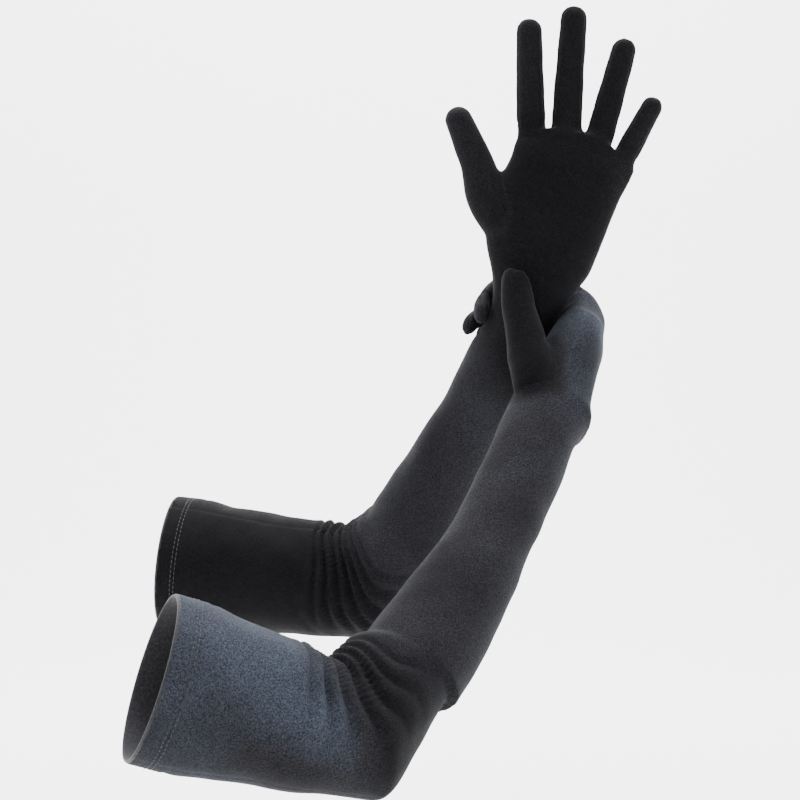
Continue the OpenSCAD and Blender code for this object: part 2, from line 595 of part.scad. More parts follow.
finger_strip(RIGHT_HAND, 3, BACK_SIDE, THUMB_SIDE);  // right_little_back
finger_strip(RIGHT_HAND, 3, THUMB_SIDE, PALM_SIDE);  // right_little_fourchette
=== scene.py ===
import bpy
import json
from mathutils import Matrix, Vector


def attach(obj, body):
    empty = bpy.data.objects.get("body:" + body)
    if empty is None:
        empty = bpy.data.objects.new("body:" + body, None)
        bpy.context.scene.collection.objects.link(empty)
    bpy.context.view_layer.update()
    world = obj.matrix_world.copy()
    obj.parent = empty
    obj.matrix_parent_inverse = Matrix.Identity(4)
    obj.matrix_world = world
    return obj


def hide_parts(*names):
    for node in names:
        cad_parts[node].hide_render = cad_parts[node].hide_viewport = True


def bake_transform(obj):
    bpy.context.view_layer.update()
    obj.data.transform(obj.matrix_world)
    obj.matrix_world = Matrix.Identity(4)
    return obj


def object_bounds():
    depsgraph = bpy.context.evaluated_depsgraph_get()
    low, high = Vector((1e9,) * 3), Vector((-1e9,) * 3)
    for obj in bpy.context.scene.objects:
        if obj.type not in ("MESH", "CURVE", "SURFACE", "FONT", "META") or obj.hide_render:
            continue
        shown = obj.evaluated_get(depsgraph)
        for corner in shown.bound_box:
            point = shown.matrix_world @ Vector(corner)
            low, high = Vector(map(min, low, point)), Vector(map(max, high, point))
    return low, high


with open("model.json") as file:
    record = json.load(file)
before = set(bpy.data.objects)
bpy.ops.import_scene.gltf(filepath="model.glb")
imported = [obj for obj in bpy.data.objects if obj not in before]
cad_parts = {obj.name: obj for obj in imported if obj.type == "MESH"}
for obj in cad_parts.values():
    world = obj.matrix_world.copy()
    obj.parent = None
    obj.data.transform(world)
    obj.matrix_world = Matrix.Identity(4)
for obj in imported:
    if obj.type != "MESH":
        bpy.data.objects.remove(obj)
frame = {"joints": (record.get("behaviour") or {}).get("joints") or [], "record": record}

# Looks of a pair of elbow-length velvet opera gloves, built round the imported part.
# Everything here is worked out in millimetres and placed in metres. Each glove's sleeve,
# palm, thumb and fingers are lofted from sections, joined into one skin, and then cut
# along the sewing lines into the pieces that the part names.
import json
import math

import bpy
import numpy as np
from mathutils.kdtree import KDTree

CAD_BOX = [[float(c) for c in corner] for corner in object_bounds()]
MM = 1000.0
JOINTS = {j["name"]: j for j in frame["joints"]}
MOUNTS = {m["name"]: m for m in frame["record"]["mounts"]}


def joint_at(name):
    return np.array(JOINTS[name]["pos_m"]) * MM


def unit(v):
    return v / np.linalg.norm(v)


# ---------------------------------------------------------------- camera
# Distance of the camera from the gloves' middle, its lens and film, and how far the view's
# centre stands from the left cuff's centre
CAMERA_AWAY = 1332.5
CAMERA_SIDE = 153.0
CAMERA_RISE = 107.5
LENS = 90.0
FILM = 36.0


def add_camera():
    data = bpy.data.cameras.new("camera")
    data.lens = LENS
    data.sensor_width = FILM
    data.clip_end = 20.0
    camera = bpy.data.objects.new("camera", data)
    bpy.context.scene.collection.objects.link(camera)
    cuff = np.array(MOUNTS["left_cuff"]["pos_m"])
    camera.location = cuff + np.array([CAMERA_SIDE, -CAMERA_AWAY, CAMERA_RISE]) / MM
    camera.rotation_euler = (math.pi / 2, 0.0, 0.0)
    bpy.context.scene.camera = camera


add_camera()

# ---------------------------------------------------------------- sizes, in mm
WALL = 0.8
GRIP_GAP = 0.7
PRESS = 0.5
CUFF_R = 43.5
HEM_DEPTH = 20.0
STITCH_PLACE = 10.0
STITCH_ROWS_GAP = 2.3
UPPER_MID_R = 39.0
FOREARM_R = 29.5
FOREARM_THIN_R = 22.5
HELD_WRIST_R = 18.5
WRIST_R = 21.5
FOREARM_LEN = 235.0
GATHER = 44.0
FORE_END = FOREARM_LEN - 14
PALM_LEN = 104.0
KNUCKLE_LEN = 84.0
PALM_HALF = 15.0
FINGER_HALF = 6.8
KNUCKLE_HALF = PALM_HALF - 2
PALM_POWER = 0.8
FIST_BULGE = 1.3
SIDES = 72
FINGER_SIDES = 48


def table(points):
    """A smooth curve through a table of points, with no overshoot."""
    x = np.array([p[0] for p in points], float)
    y = np.array([p[1] for p in points], float)
    step = np.diff(x)
    rise = np.diff(y) / step
    slope = np.zeros(len(x))
    same = rise[:-1] * rise[1:] > 0
    mean = np.where(same, 2 * rise[:-1] * rise[1:] / np.where(same, rise[:-1] + rise[1:], 1), 0)
    slope[1:-1] = mean
    slope[0], slope[-1] = rise[0], rise[-1]

    def at(value):
        value = np.clip(value, x[0], x[-1])
        k = np.clip(np.searchsorted(x, value, side="right") - 1, 0, len(x) - 2)
        h = step[k]
        t = (value - x[k]) / h
        a = (1 + 2 * t) * (1 - t) ** 2 * y[k] + t * (1 - t) ** 2 * h * slope[k]
        return a + t * t * (3 - 2 * t) * y[k + 1] + t * t * (t - 1) * h * slope[k + 1]

    return at


def ease(t):
    t = np.clip(t, 0, 1)
    return t * t * (3 - 2 * t)


def square_to(v, axis):
    return unit(v - (v @ axis) * axis)


def turned(v, axis, angle):
    """v turned round axis by angle."""
    along = axis * (axis @ v)
    return along + (v - along) * math.cos(angle) + np.cross(axis, v) * math.sin(angle)


def quad_curve(a, m, b, f):
    return (1 - f) ** 2 * a + 2 * f * (1 - f) * m + f * f * b


def oval(centre, x, y, out, back, side, sides=SIDES):
    """A ring of points. out and back are the radii along +x and -x, side the one along y."""
    angle = np.arange(sides) * 2 * math.pi / sides
    c, s = np.cos(angle), np.sin(angle)
    rx = np.where(c > 0, out, back)
    return centre + np.outer(c * rx, x) + np.outer(s * side, y)


# ---------------------------------------------------------------- the two arms
class Arm:
    """A sleeve: cuff, elbow and wrist, and the curves that its radius follows."""

    def __init__(self, side, wrist_r, elbow_r, bow):
        self.side = side
        self.cuff = np.array(MOUNTS[side + "_cuff"]["pos_m"]) * MM
        self.elbow = joint_at(side + "_elbow_bend")
        self.wrist = joint_at(side + "_wrist_bend")
        self.wrist_r = wrist_r
        self.elbow_r = elbow_r
        self.upper_len = float(np.linalg.norm(self.elbow - self.cuff))
        self.upper = unit(self.elbow - self.cuff)
        self.fore = unit(self.wrist - self.elbow)
        self.away = -unit(np.cross(self.upper, self.fore))
        self.out = -square_to(self.fore, self.upper)
        middle = (self.elbow + self.wrist) / 2
        self.control = middle + 2 * bow * square_to(self.upper, self.fore)
        self.upper_radius = table([
            [0, CUFF_R], [HEM_DEPTH, CUFF_R], [2 * HEM_DEPTH, UPPER_MID_R + 0.4 * (CUFF_R - UPPER_MID_R)],
            [self.upper_len / 2, UPPER_MID_R], [self.upper_len, elbow_r]])
        self.fore_radius = table([
            [0, elbow_r], [0.14 * FOREARM_LEN, FOREARM_R + 0.4 * (elbow_r - FOREARM_R)],
            [0.28 * FOREARM_LEN, FOREARM_R], [0.48 * FOREARM_LEN, 0.5 * (FOREARM_R + FOREARM_THIN_R)],
            [0.66 * FOREARM_LEN, FOREARM_THIN_R], [0.82 * FOREARM_LEN, FOREARM_THIN_R],
            [0.92 * FOREARM_LEN, wrist_r + 1], [FOREARM_LEN, wrist_r]])

    def upper_ring(self, s):
        r = self.upper_radius(s)
        return oval(self.cuff + s * self.upper, self.out, self.away, r, r, r)

    def gather_ring(self, f):
        bend = math.acos(self.upper @ self.fore)
        outward = unit(self.upper - self.fore)
        pivot = self.elbow - outward * GATHER / math.sin(bend / 2)
        reach = GATHER / math.tan(bend / 2)
        start, end = self.upper_radius(self.upper_len - GATHER), self.fore_radius(GATHER)
        r = start + (self.elbow_r - start) * ease(2 * f) + (end - self.elbow_r) * ease(2 * f - 1)
        angle = bend * (f - 0.5)
        stretch = 1 / math.cos(bend / 2 - abs(angle))
        top = 1 / math.cos(bend / 2)
        # The corner's peak is rounded, as cloth stretched over an elbow is
        peak = top - 0.06
        if stretch >= peak:
            stretch = peak + 0.06 * math.tanh((stretch - peak) / 0.06)
        x = turned(outward, -self.away, angle)
        middle = reach * stretch
        far = (reach + r) * (1 + 0.75 * (stretch - 1))
        near = (reach - r) * stretch
        return oval(pivot + middle * x, x, self.away, far - middle, middle - near, r)

    def fore_at(self, s):
        return quad_curve(self.elbow, self.control, self.wrist, s / FOREARM_LEN)

    def fore_ring(self, s):
        f = s / FOREARM_LEN
        t = unit((1 - f) * (self.control - self.elbow) + f * (self.wrist - self.control))
        r = self.fore_radius(s)
        return oval(self.fore_at(s), np.cross(self.away, t), self.away, r, r, r)


LEFT_ARM = Arm("left", HELD_WRIST_R, 36.0, 4.0)
RIGHT_ARM = Arm("right", WRIST_R, 33.5, 9.5)

# The held wrist's axis, and the radius that the gripping hand's cloth stays outside of
HELD_AXIS = unit(LEFT_ARM.wrist - LEFT_ARM.control)
HELD_RIGHT = square_to(np.array([1.0, 0, 0]), HELD_AXIS)
HELD_BACK = np.cross(HELD_AXIS, HELD_RIGHT)
HAND_FLARE = [[0, 0.27], [30, 0.39], [60, 0.39], [90, 0.47], [120, 0.77], [150, 0.77],
              [180, 0.47], [210, 0.15], [240, 0], [330, 0.05], [360, 0.27]]
FLARE_START = 12.0


def off_wrist(points, margin):
    """Moves points that are inside the held wrist's cloth to just outside it."""
    rel = points - LEFT_ARM.wrist
    drop = -(rel @ HELD_AXIS)
    out = rel + np.outer(drop, HELD_AXIS)
    rho = np.linalg.norm(out, axis=1)
    turn = np.degrees(np.arctan2(out @ HELD_BACK, out @ HELD_RIGHT)) % 360
    flare = np.interp(turn, [p[0] for p in HAND_FLARE], [p[1] for p in HAND_FLARE])
    least = LEFT_ARM.fore_radius(FOREARM_LEN - np.maximum(0, drop))
    least = least + np.maximum(0, FLARE_START - drop) * flare + GRIP_GAP + PRESS + margin
    push = np.maximum(0, least - rho)
    return points + out / rho[:, None] * push[:, None]


class Hand:
    """A hand: wrist, the way it points, its palm's side, and how its knuckles bend."""

    def __init__(self, arm, ahead, palm, bend, spin):
        self.arm, self.ahead, self.palm = arm, ahead, palm
        self.wrist = arm.wrist
        self.spin = spin
        self.little = np.cross(ahead, palm) * spin
        self.bend = math.radians(bend)
        self.arc = (PALM_LEN - KNUCKLE_LEN) / self.bend
        w = arm.wrist_r
        last_thumb, last_little = (29, 45) if spin > 0 else (27.5, 32.5)
        self.thumb_reach = table([
            [p[0] * PALM_LEN, p[1]] for p in [
                [0, w + 2], [0.08, w + 3], [0.19, 29], [0.34, 35.5], [0.48, 39], [0.6, 37.5],
                [0.72, 32], [0.84, 29.5], [1, last_thumb]]])
        self.little_reach = table([
            [p[0] * PALM_LEN, p[1]] for p in [
                [0, w + 2], [0.08, w + 3], [0.19, 29], [0.34, 32.5], [0.48, 35.5],
                [0.7, 39.5], [1, last_little]]])
        self.thickness = table([
            [p[0] * PALM_LEN, p[1]] for p in [
                [0, w], [0.19, PALM_HALF + 3], [0.5, PALM_HALF + 1], [0.8, KNUCKLE_HALF],
                [1, FINGER_HALF + WALL + 2]]])

    def bend_at(self, l):
        return self.bend * np.clip((l - KNUCKLE_LEN) / (PALM_LEN - KNUCKLE_LEN), 0, 1)

    def place(self, l, a, h):
        """The points at l along the hand, a across it to the little finger, h out of the palm."""
        l, a, h = np.broadcast_arrays(np.asarray(l, float), a, h)
        b = self.bend_at(l)[..., None]
        ahead = self.ahead * np.cos(b) + self.palm * np.sin(b)
        palm = self.palm * np.cos(b) - self.ahead * np.sin(b)
        spine = self.wrist + np.minimum(l, KNUCKLE_LEN)[..., None] * self.ahead
        spine = spine + self.arc * (np.sin(b) * self.ahead + (1 - np.cos(b)) * self.palm)
        spine = spine + np.maximum(0, l - PALM_LEN)[..., None] * ahead
        return spine + a[..., None] * self.little + h[..., None] * palm

    def angles(self, sides):
        turn = np.arange(sides) * 2 * math.pi / sides
        return turn if self.spin > 0 else math.pi / 2 - turn

    def palm_ring(self, l):
        angle = self.angles(SIDES)
        c, s = np.cos(angle), np.sin(angle)
        reach = np.where(c > 0, self.little_reach(l), self.thumb_reach(l))
        a = np.sign(c) * np.abs(c) ** PALM_POWER * reach
        bulge = np.where((s > 0) & (self.spin < 0), FIST_BULGE, 1.0)
        h = -np.sign(s) * np.abs(s) ** PALM_POWER * bulge * self.thickness(l)
        back = web_back(a) * max(0, (l - 0.7 * PALM_LEN) / (0.3 * PALM_LEN))
        ring = self.place(l - back, a, h)
        return off_wrist(ring, 0) if self.spin < 0 else ring


web_back = table([[-30, 5], [-20, 3], [0, 0], [20, 0], [28, 3], [36, 9], [44, 14]])


# Heading and rise of the gripping palm, and its place round the held wrist, in degrees
GRIP_HEADING = 72.0
GRIP_RISE = 35.0
GRIP_TURN = 16.0
PALM_TURN = GRIP_TURN - 20


def hand_ways():
    """The way each hand points and the side its palm faces."""
    left = np.cross(np.array(JOINTS["left_wrist_bend"]["axis"]), [0.0, 1.0, 0.0])
    left = unit(left * np.sign(left[2]))
    left_palm = np.array([0.0, -1.0, 0.0])
    az, el = math.radians(GRIP_HEADING), math.radians(GRIP_RISE)
    right = np.array([math.cos(el) * math.cos(az), math.cos(el) * math.sin(az), math.sin(el)])
    turn = math.radians(PALM_TURN)
    right_palm = square_to(-(math.cos(turn) * HELD_RIGHT + math.sin(turn) * HELD_BACK), right)
    return left, left_palm, right, right_palm


LEFT_AHEAD, LEFT_PALM, RIGHT_AHEAD, RIGHT_PALM = hand_ways()
LEFT_HAND = Hand(LEFT_ARM, LEFT_AHEAD, LEFT_PALM, 0.01, 1)
RIGHT_HAND = Hand(RIGHT_ARM, RIGHT_AHEAD, RIGHT_PALM, 86, -1)


# ---------------------------------------------------------------- lofts
class Loft:
    """A closed tube through rings of points, each ring with its station along the tube."""

    def __init__(self, rings, stations):
        self.rings = np.array(rings)
        self.stations = np.array(stations, float)

    def triangles(self):
        count, sides = self.rings.shape[:2]
        points = self.rings.reshape(-1, 3)
        ends = np.array([self.rings[0].mean(0), self.rings[-1].mean(0)])
        i, j = np.meshgrid(np.arange(count - 1), np.arange(sides), indexing="ij")
        a, b = i * sides + j, i * sides + (j + 1) % sides
        c, d = a + sides, b + sides
        walls = np.stack([np.stack([a, d, b], -1), np.stack([a, c, d], -1)], 2).reshape(-1, 3)
        j = np.arange(sides)
        last = (count - 1) * sides
        start = np.stack([np.full(sides, count * sides), j, (j + 1) % sides], -1)
        end = np.stack([np.full(sides, count * sides + 1), last + (j + 1) % sides, last + j], -1)
        return np.vstack([points, ends]), np.vstack([walls, start, end])


def arm_loft(arm, hand, palm_start):
    """The whole sleeve and palm: stations run in mm from the cuff, and on past the wrist."""
    rings, stations = [], []

    def add(ring, station):
        rings.append(ring)
        stations.append(station)

    for s in np.linspace(0, arm.upper_len - GATHER, 30)[:-1]:
        add(arm.upper_ring(s), s)
    for f in np.linspace(0, 1, 45):
        add(arm.gather_ring(f), arm.upper_len + GATHER * (2 * f - 1))
    for s in np.linspace(GATHER, FORE_END, 60)[1:]:
        add(arm.fore_ring(s), arm.upper_len + s)
    first, last = arm.fore_ring(FORE_END), hand.palm_ring(palm_start)
    join = (arm.fore_ring(FOREARM_LEN - 5) + hand.palm_ring(2)) / 2
    for f in np.linspace(0, 1, 14)[1:]:
        station = arm.upper_len + FORE_END + f * (FOREARM_LEN - FORE_END + palm_start)
        add(quad_curve(first, join, last, f), station)
    for l in np.linspace(palm_start, PALM_LEN, 42)[1:]:
        add(hand.palm_ring(l), arm.upper_len + FOREARM_LEN + l)
    # The web at the palm's end is rounded off
    end = hand.palm_ring(PALM_LEN)
    middle = end.mean(0)
    ahead = hand.place(PALM_LEN + 1, 0, 0) - hand.place(PALM_LEN, 0, 0)
    for step, shrink in ((1.2, 0.96), (2.0, 0.88)):
        add(middle + (end - middle) * shrink + ahead * step, arm.upper_len + FOREARM_LEN + PALM_LEN + step)
    return Loft(rings, stations)


# Place across the web, length, half width at base and tip, spread, and two joint bends
FINGERS = {
    "left": {"index": (-21.6, 66, 8.8, 7.5, -14, 3, 3), "middle": (-0.8, 75, 9.2, 7.8, -9, 3, 2),
             "ring": (19.4, 62, 8.6, 7.2, 3, 3, 2), "little": (36.2, 42, 7.5, 5.9, 16, 3, 2)},
    "right": {"index": (-21.2, 66, 7.5, 7.0, -4, 52, 46), "middle": (-5.7, 75, 7.5, 7.2, 0, 48, 42),
              "ring": (9.3, 66, 7.3, 6.9, 0, 44, 44), "little": (23.6, 42, 6.7, 5.8, 0, 40, 40)},
}
FINGER_ROOT = 13.0
# A gripping finger is pressed flatter than a straight one
GRIP_HALF = 5.0


def finger_profile(row, half, s):
    """Half width and half thickness at s along a finger."""
    length, base_w, tip_w = row[1:4]
    over = max(0.0, (s - (length - tip_w)) / tip_w)
    close = math.sqrt(max(0.0, 1 - over * over))
    along = max(0.0, s / length)
    # Fingers swell a little at their joints
    joints = 0.02 * math.exp(-((along - 0.36) / 0.09) ** 2)
    joints += 0.02 * math.exp(-((along - 0.68) / 0.08) ** 2)
    w = (base_w + (tip_w - base_w) * along) * close * (1 + joints)
    h = half * (1.04 - 0.14 * along) * close * (1 + joints)
    if s <= 0:
        w, h = w * (1 + 0.012 * s), h * (1 + 0.02 * s)
    return w, h


def finger_stations(length, tip):
    straight = np.linspace(-FINGER_ROOT, length - tip, 46)
    cap = length - tip * (1 - np.sin(np.linspace(0, 0.5, 12)[1:] * math.pi * 0.97))
    return np.concatenate([straight, cap])


def finger_loft(hand, name, row):
    place, length, _, tip_w, spread, first_bend, second_bend = row
    spread = math.radians(spread)
    end_ahead = unit(hand.place(PALM_LEN + 1, 0, 0) - hand.place(PALM_LEN, 0, 0))
    inward = unit(hand.place(PALM_LEN, 0, 1) - hand.place(PALM_LEN, 0, 0))
    across = hand.little * math.cos(spread) - end_ahead * math.sin(spread)
    ahead = end_ahead * math.cos(spread) + hand.little * math.sin(spread)
    base = hand.place(PALM_LEN - web_back(place) + 0.6, place, 0)
    if hand.spin < 0:
        return gripping_finger(hand, name, row, base, ahead, inward)
    stations = finger_stations(length, tip_w)
    angle = hand.angles(FINGER_SIDES)
    rings = []
    spot, before = base, 0.0
    for s in stations:
        if s <= 0:
            spot, bend = base + s * ahead, 0.0
        else:
            if before <= 0:
                spot, before = base, 0.0
            mid = (s + before) / 2 / length
            bend = first_bend * ease((mid - 0.3) / 0.16) + second_bend * ease((mid - 0.62) / 0.14)
            bend = math.radians(bend)
            spot = spot + (s - before) * (ahead * math.cos(bend) + inward * math.sin(bend))
            before = s
        up = inward * math.cos(bend) - ahead * math.sin(bend)
        w, h = finger_profile(row, FINGER_HALF, s)
        rings.append(spot + np.outer(w * np.cos(angle), across) - np.outer(h * np.sin(angle), up))
    return Loft(rings, stations)


def held_radius(drop, turn):
    """Radius of the held arm at a drop below its wrist and a turn, in degrees, round it."""
    flare = np.interp(turn % 360, [p[0] for p in HAND_FLARE], [p[1] for p in HAND_FLARE])
    return LEFT_ARM.fore_radius(FOREARM_LEN - max(0.0, drop)) + max(0.0, FLARE_START - drop) * flare


# How far each gripping finger slants up the wrist for each mm of its length
GRIP_SLANT = {"index": -0.24, "middle": -0.02, "ring": -0.04, "little": -0.04}
FINGER_OFF = 1.0


def gripping_finger(hand, name, row, base, ahead, inward):
    """A finger that leaves the palm's end and wraps round the held wrist."""
    length, tip_w = row[1], row[3]
    stations = finger_stations(length, tip_w)
    rel = base - LEFT_ARM.wrist
    drop = -(rel @ HELD_AXIS)
    out = rel + drop * HELD_AXIS
    turn = math.atan2(out @ HELD_BACK, out @ HELD_RIGHT)
    rho = float(np.linalg.norm(out))
    first_rho = rho
    centres = []
    before = 0.0
    for s in stations:
        if s <= 0:
            centres.append(base + s * ahead)
            continue
        half = finger_profile(row, GRIP_HALF, min(s, length - tip_w))[1]
        target = held_radius(drop, math.degrees(turn)) + GRIP_GAP + FINGER_OFF + half
        rho = first_rho + (target - first_rho) * ease(s / 26)
        turn += (s - before) / rho
        drop -= (s - before) * GRIP_SLANT[name]
        before = s
        way = math.cos(turn) * HELD_RIGHT + math.sin(turn) * HELD_BACK
        centres.append(LEFT_ARM.wrist - drop * HELD_AXIS + rho * way)
    centres = np.array(centres)
    for _ in range(6):
        centres[1:-1] = 0.25 * centres[:-2] + 0.5 * centres[1:-1] + 0.25 * centres[2:]
    tangents = np.gradient(centres, axis=0)
    angle = hand.angles(FINGER_SIDES)
    rings = []
    for centre, t, s in zip(centres, tangents, stations):
        t = unit(t)
        radial = centre - LEFT_ARM.wrist
        radial = radial - (radial @ HELD_AXIS) * HELD_AXIS
        up = unit(inward * (1 - ease(s / 20)) - unit(radial) * ease(s / 20))
        up = square_to(up, t)
        side = unit(np.cross(t, up)) * -hand.spin
        side = side * np.sign(side @ hand.little)
        w, h = finger_profile(row, GRIP_HALF + (FINGER_HALF - GRIP_HALF) * (1 - ease(s / 24)), s)
        rings.append(centre + np.outer(w * np.cos(angle), side) - np.outer(h * np.sin(angle), up))
    return Loft(rings, stations)


# Centres up the thumb, along, across and out of the palm, and the radius there
THUMBS = {
    "left": [(34, -17, 1, 12.0), (47, -30, 2, 13.6), (58, -40, 3, 12.6), (66, -44.5, 4, 11.2),
             (74, -49, 4, 10), (84, -56.5, 6, 9.2), (93, -63, 7.5, 8.4), (99, -67.4, 8, 7.9),
             (102.6, -70, 8.4, 7.6)],
    "right": [(6, -13, 10, 13.0), (14, -17.5, 15.6, 13.4), (21, -21, 21, 13.2), (27, -24.5, 25.5, 12),
              (35, -29.5, 32, 10.7), (43.5, -34.8, 38.8, 9.8), (50, -39.5, 43, 9.4), (56, -44, 46, 9),
              (61.8, -48.5, 48.6, 8.6)],
}


def thumb_loft(hand, rows):
    rows = np.array(rows, float)
    centres = hand.place(rows[:, 0], rows[:, 1], rows[:, 2])
    run = np.concatenate([[0], np.cumsum(np.linalg.norm(np.diff(centres, axis=0), axis=1))])
    line = [table(np.stack([run, centres[:, k]], 1).tolist()) for k in range(3)]
    radius = table(np.stack([run, rows[:, 3]], 1).tolist())
    tip = rows[-1, 3]
    stations = np.concatenate([np.linspace(0, run[-1] - tip, 40),
                               run[-1] - tip * (1 - np.sin(np.linspace(0, 0.5, 12)[1:] * math.pi * 0.97))])
    rings = []
    for s in stations:
        spot = np.array([f(s) for f in line])
        up, down = min(s + 2, run[-1]), max(s - 2, 0)
        t = unit(np.array([f(up) for f in line]) - np.array([f(down) for f in line]))
        y = square_to(hand.ahead, t)
        x = np.cross(y, t)
        over = max(0.0, (s - (run[-1] - tip)) / tip)
        r = radius(s) * math.sqrt(max(0.0, 1 - over * over))
        turn = np.arange(FINGER_SIDES) * 2 * math.pi / FINGER_SIDES
        ring = spot + np.outer(r * np.cos(turn), x) + np.outer(r * np.sin(turn), y)
        rings.append(ring if hand.spin > 0 else off_wrist(ring, THUMB_OFF))
    return Loft(rings, stations)


# How far off the held wrist the gripping thumb stays, past the gap that all the cloth keeps
THUMB_OFF = 1.0


# ---------------------------------------------------------------- skins
VOXEL = 1.5


def outward(points, tris):
    """Turns a closed mesh's faces outwards."""
    a, b, c = (points[tris[:, k]] for k in range(3))
    volume = np.einsum("ij,ij->i", a, np.cross(b, c)).sum()
    return tris if volume > 0 else tris[:, ::-1]


def joined(lofts):
    points, tris, base = [], [], 0
    for loft in lofts:
        p, t = loft.triangles()
        tris.append(outward(p, t) + base)
        points.append(p)
        base += len(p)
    return np.vstack(points), np.vstack(tris)


def remeshed(points, tris, voxel):
    """One even skin round everything that the closed tubes enclose."""
    mesh = bpy.data.meshes.new("skin")
    mesh.from_pydata((points / MM).tolist(), [], tris.tolist())
    obj = bpy.data.objects.new("skin", mesh)
    bpy.context.scene.collection.objects.link(obj)
    modifier = obj.modifiers.new("remesh", "REMESH")
    modifier.mode = "VOXEL"
    modifier.voxel_size = voxel / MM
    bpy.context.view_layer.update()
    done = obj.evaluated_get(bpy.context.evaluated_depsgraph_get()).to_mesh()
    count = len(done.vertices)
    co = np.zeros(count * 3, np.float32)
    done.vertices.foreach_get("co", co)
    done.calc_loop_triangles()
    loops = np.zeros(len(done.loop_triangles) * 3, np.int32)
    done.loop_triangles.foreach_get("vertices", loops)
    obj.evaluated_get(bpy.context.evaluated_depsgraph_get()).to_mesh_clear()
    bpy.data.objects.remove(obj)
    bpy.data.meshes.remove(mesh)
    return co.reshape(-1, 3).astype(float) * MM, loops.reshape(-1, 3)


def edges_of(tris):
    pairs = np.vstack([tris[:, [0, 1]], tris[:, [1, 2]], tris[:, [2, 0]]])
    return np.unique(np.sort(pairs, axis=1), axis=0)


def averager(tris, count):
    """A function that gives each point's value averaged over its neighbours."""
    edges = edges_of(tris)
    i = np.concatenate([edges[:, 0], edges[:, 1]])
    j = np.concatenate([edges[:, 1], edges[:, 0]])
    degree = np.maximum(1, np.bincount(i, minlength=count))[:, None]

    def mean(values):
        sums = [np.bincount(i, weights=values[j, k], minlength=count) for k in range(3)]
        return np.stack(sums, 1) / degree

    return mean


def smoothed(points, tris, rounds):
    """Evens out the skin without shrinking it."""
    mean = averager(tris, len(points))
    for _ in range(rounds):
        for push in (0.5, -0.52):
            points = points + push * (mean(points) - points)
    return points


def relaxed(points, tris, rounds, weight):
    """Plain averaging, where weight says so: fills the angle where two parts meet."""
    mean = averager(tris, len(points))
    for _ in range(rounds):
        points = points + weight[:, None] * 0.6 * (mean(points) - points)
    return points


def normals_of(points, tris):
    a, b, c = (points[tris[:, k]] for k in range(3))
    face = np.cross(b - a, c - a)
    total = np.zeros_like(points)
    for k in range(3):
        for axis in range(3):
            total[:, axis] += np.bincount(tris[:, k], weights=face[:, axis], minlength=len(points))
    return total / np.maximum(1e-9, np.linalg.norm(total, axis=1))[:, None]


FAR = 60.0


def coordinates(points, loft, reach=14.0):
    """Where each point lies on a loft: station, cosine and sine round it, and distance."""
    count, sides = loft.rings.shape[:2]
    grid = loft.rings.reshape(-1, 3)
    tree = KDTree(len(grid))
    for k, p in enumerate(grid):
        tree.insert(p, k)
    tree.balance()
    low, high = grid.min(0) - reach, grid.max(0) + reach
    near = np.where(((points > low) & (points < high)).all(1))[0]
    found = [tree.find(points[k]) for k in near]
    out = np.zeros((len(points), 4))
    out[:, 3] = FAR
    if len(near) == 0:
        return out
    index = np.array([f[1] for f in found])
    i, j = index // sides, index % sides
    up, down = np.minimum(i + 1, count - 1), np.maximum(i - 1, 0)
    spot = loft.rings[i, j]
    along = loft.rings[up, j] - loft.rings[down, j]
    round_ = loft.rings[i, (j + 1) % sides] - loft.rings[i, (j - 1) % sides]
    rel = points[near] - spot
    part = np.einsum("ij,ij->i", rel, along) / np.maximum(1e-6, np.einsum("ij,ij->i", along, along))
    station = loft.stations[i] + np.clip(part, -1, 1) * (loft.stations[up] - loft.stations[down])
    turn = np.einsum("ij,ij->i", rel, round_) / np.maximum(1e-6, np.einsum("ij,ij->i", round_, round_))
    angle = (j + 2 * np.clip(turn, -0.5, 0.5)) * 2 * math.pi / sides
    normal = np.cross(along, round_)
    normal = normal / np.maximum(1e-9, np.linalg.norm(normal, axis=1))[:, None]
    off = np.einsum("ij,ij->i", rel, normal)
    slip = np.linalg.norm(rel - off[:, None] * normal, axis=1)
    distance = np.sqrt(off ** 2 + np.maximum(0, slip - 3.5) ** 2)
    out[near] = np.stack([station, np.cos(angle), np.sin(angle), distance], 1)
    return out


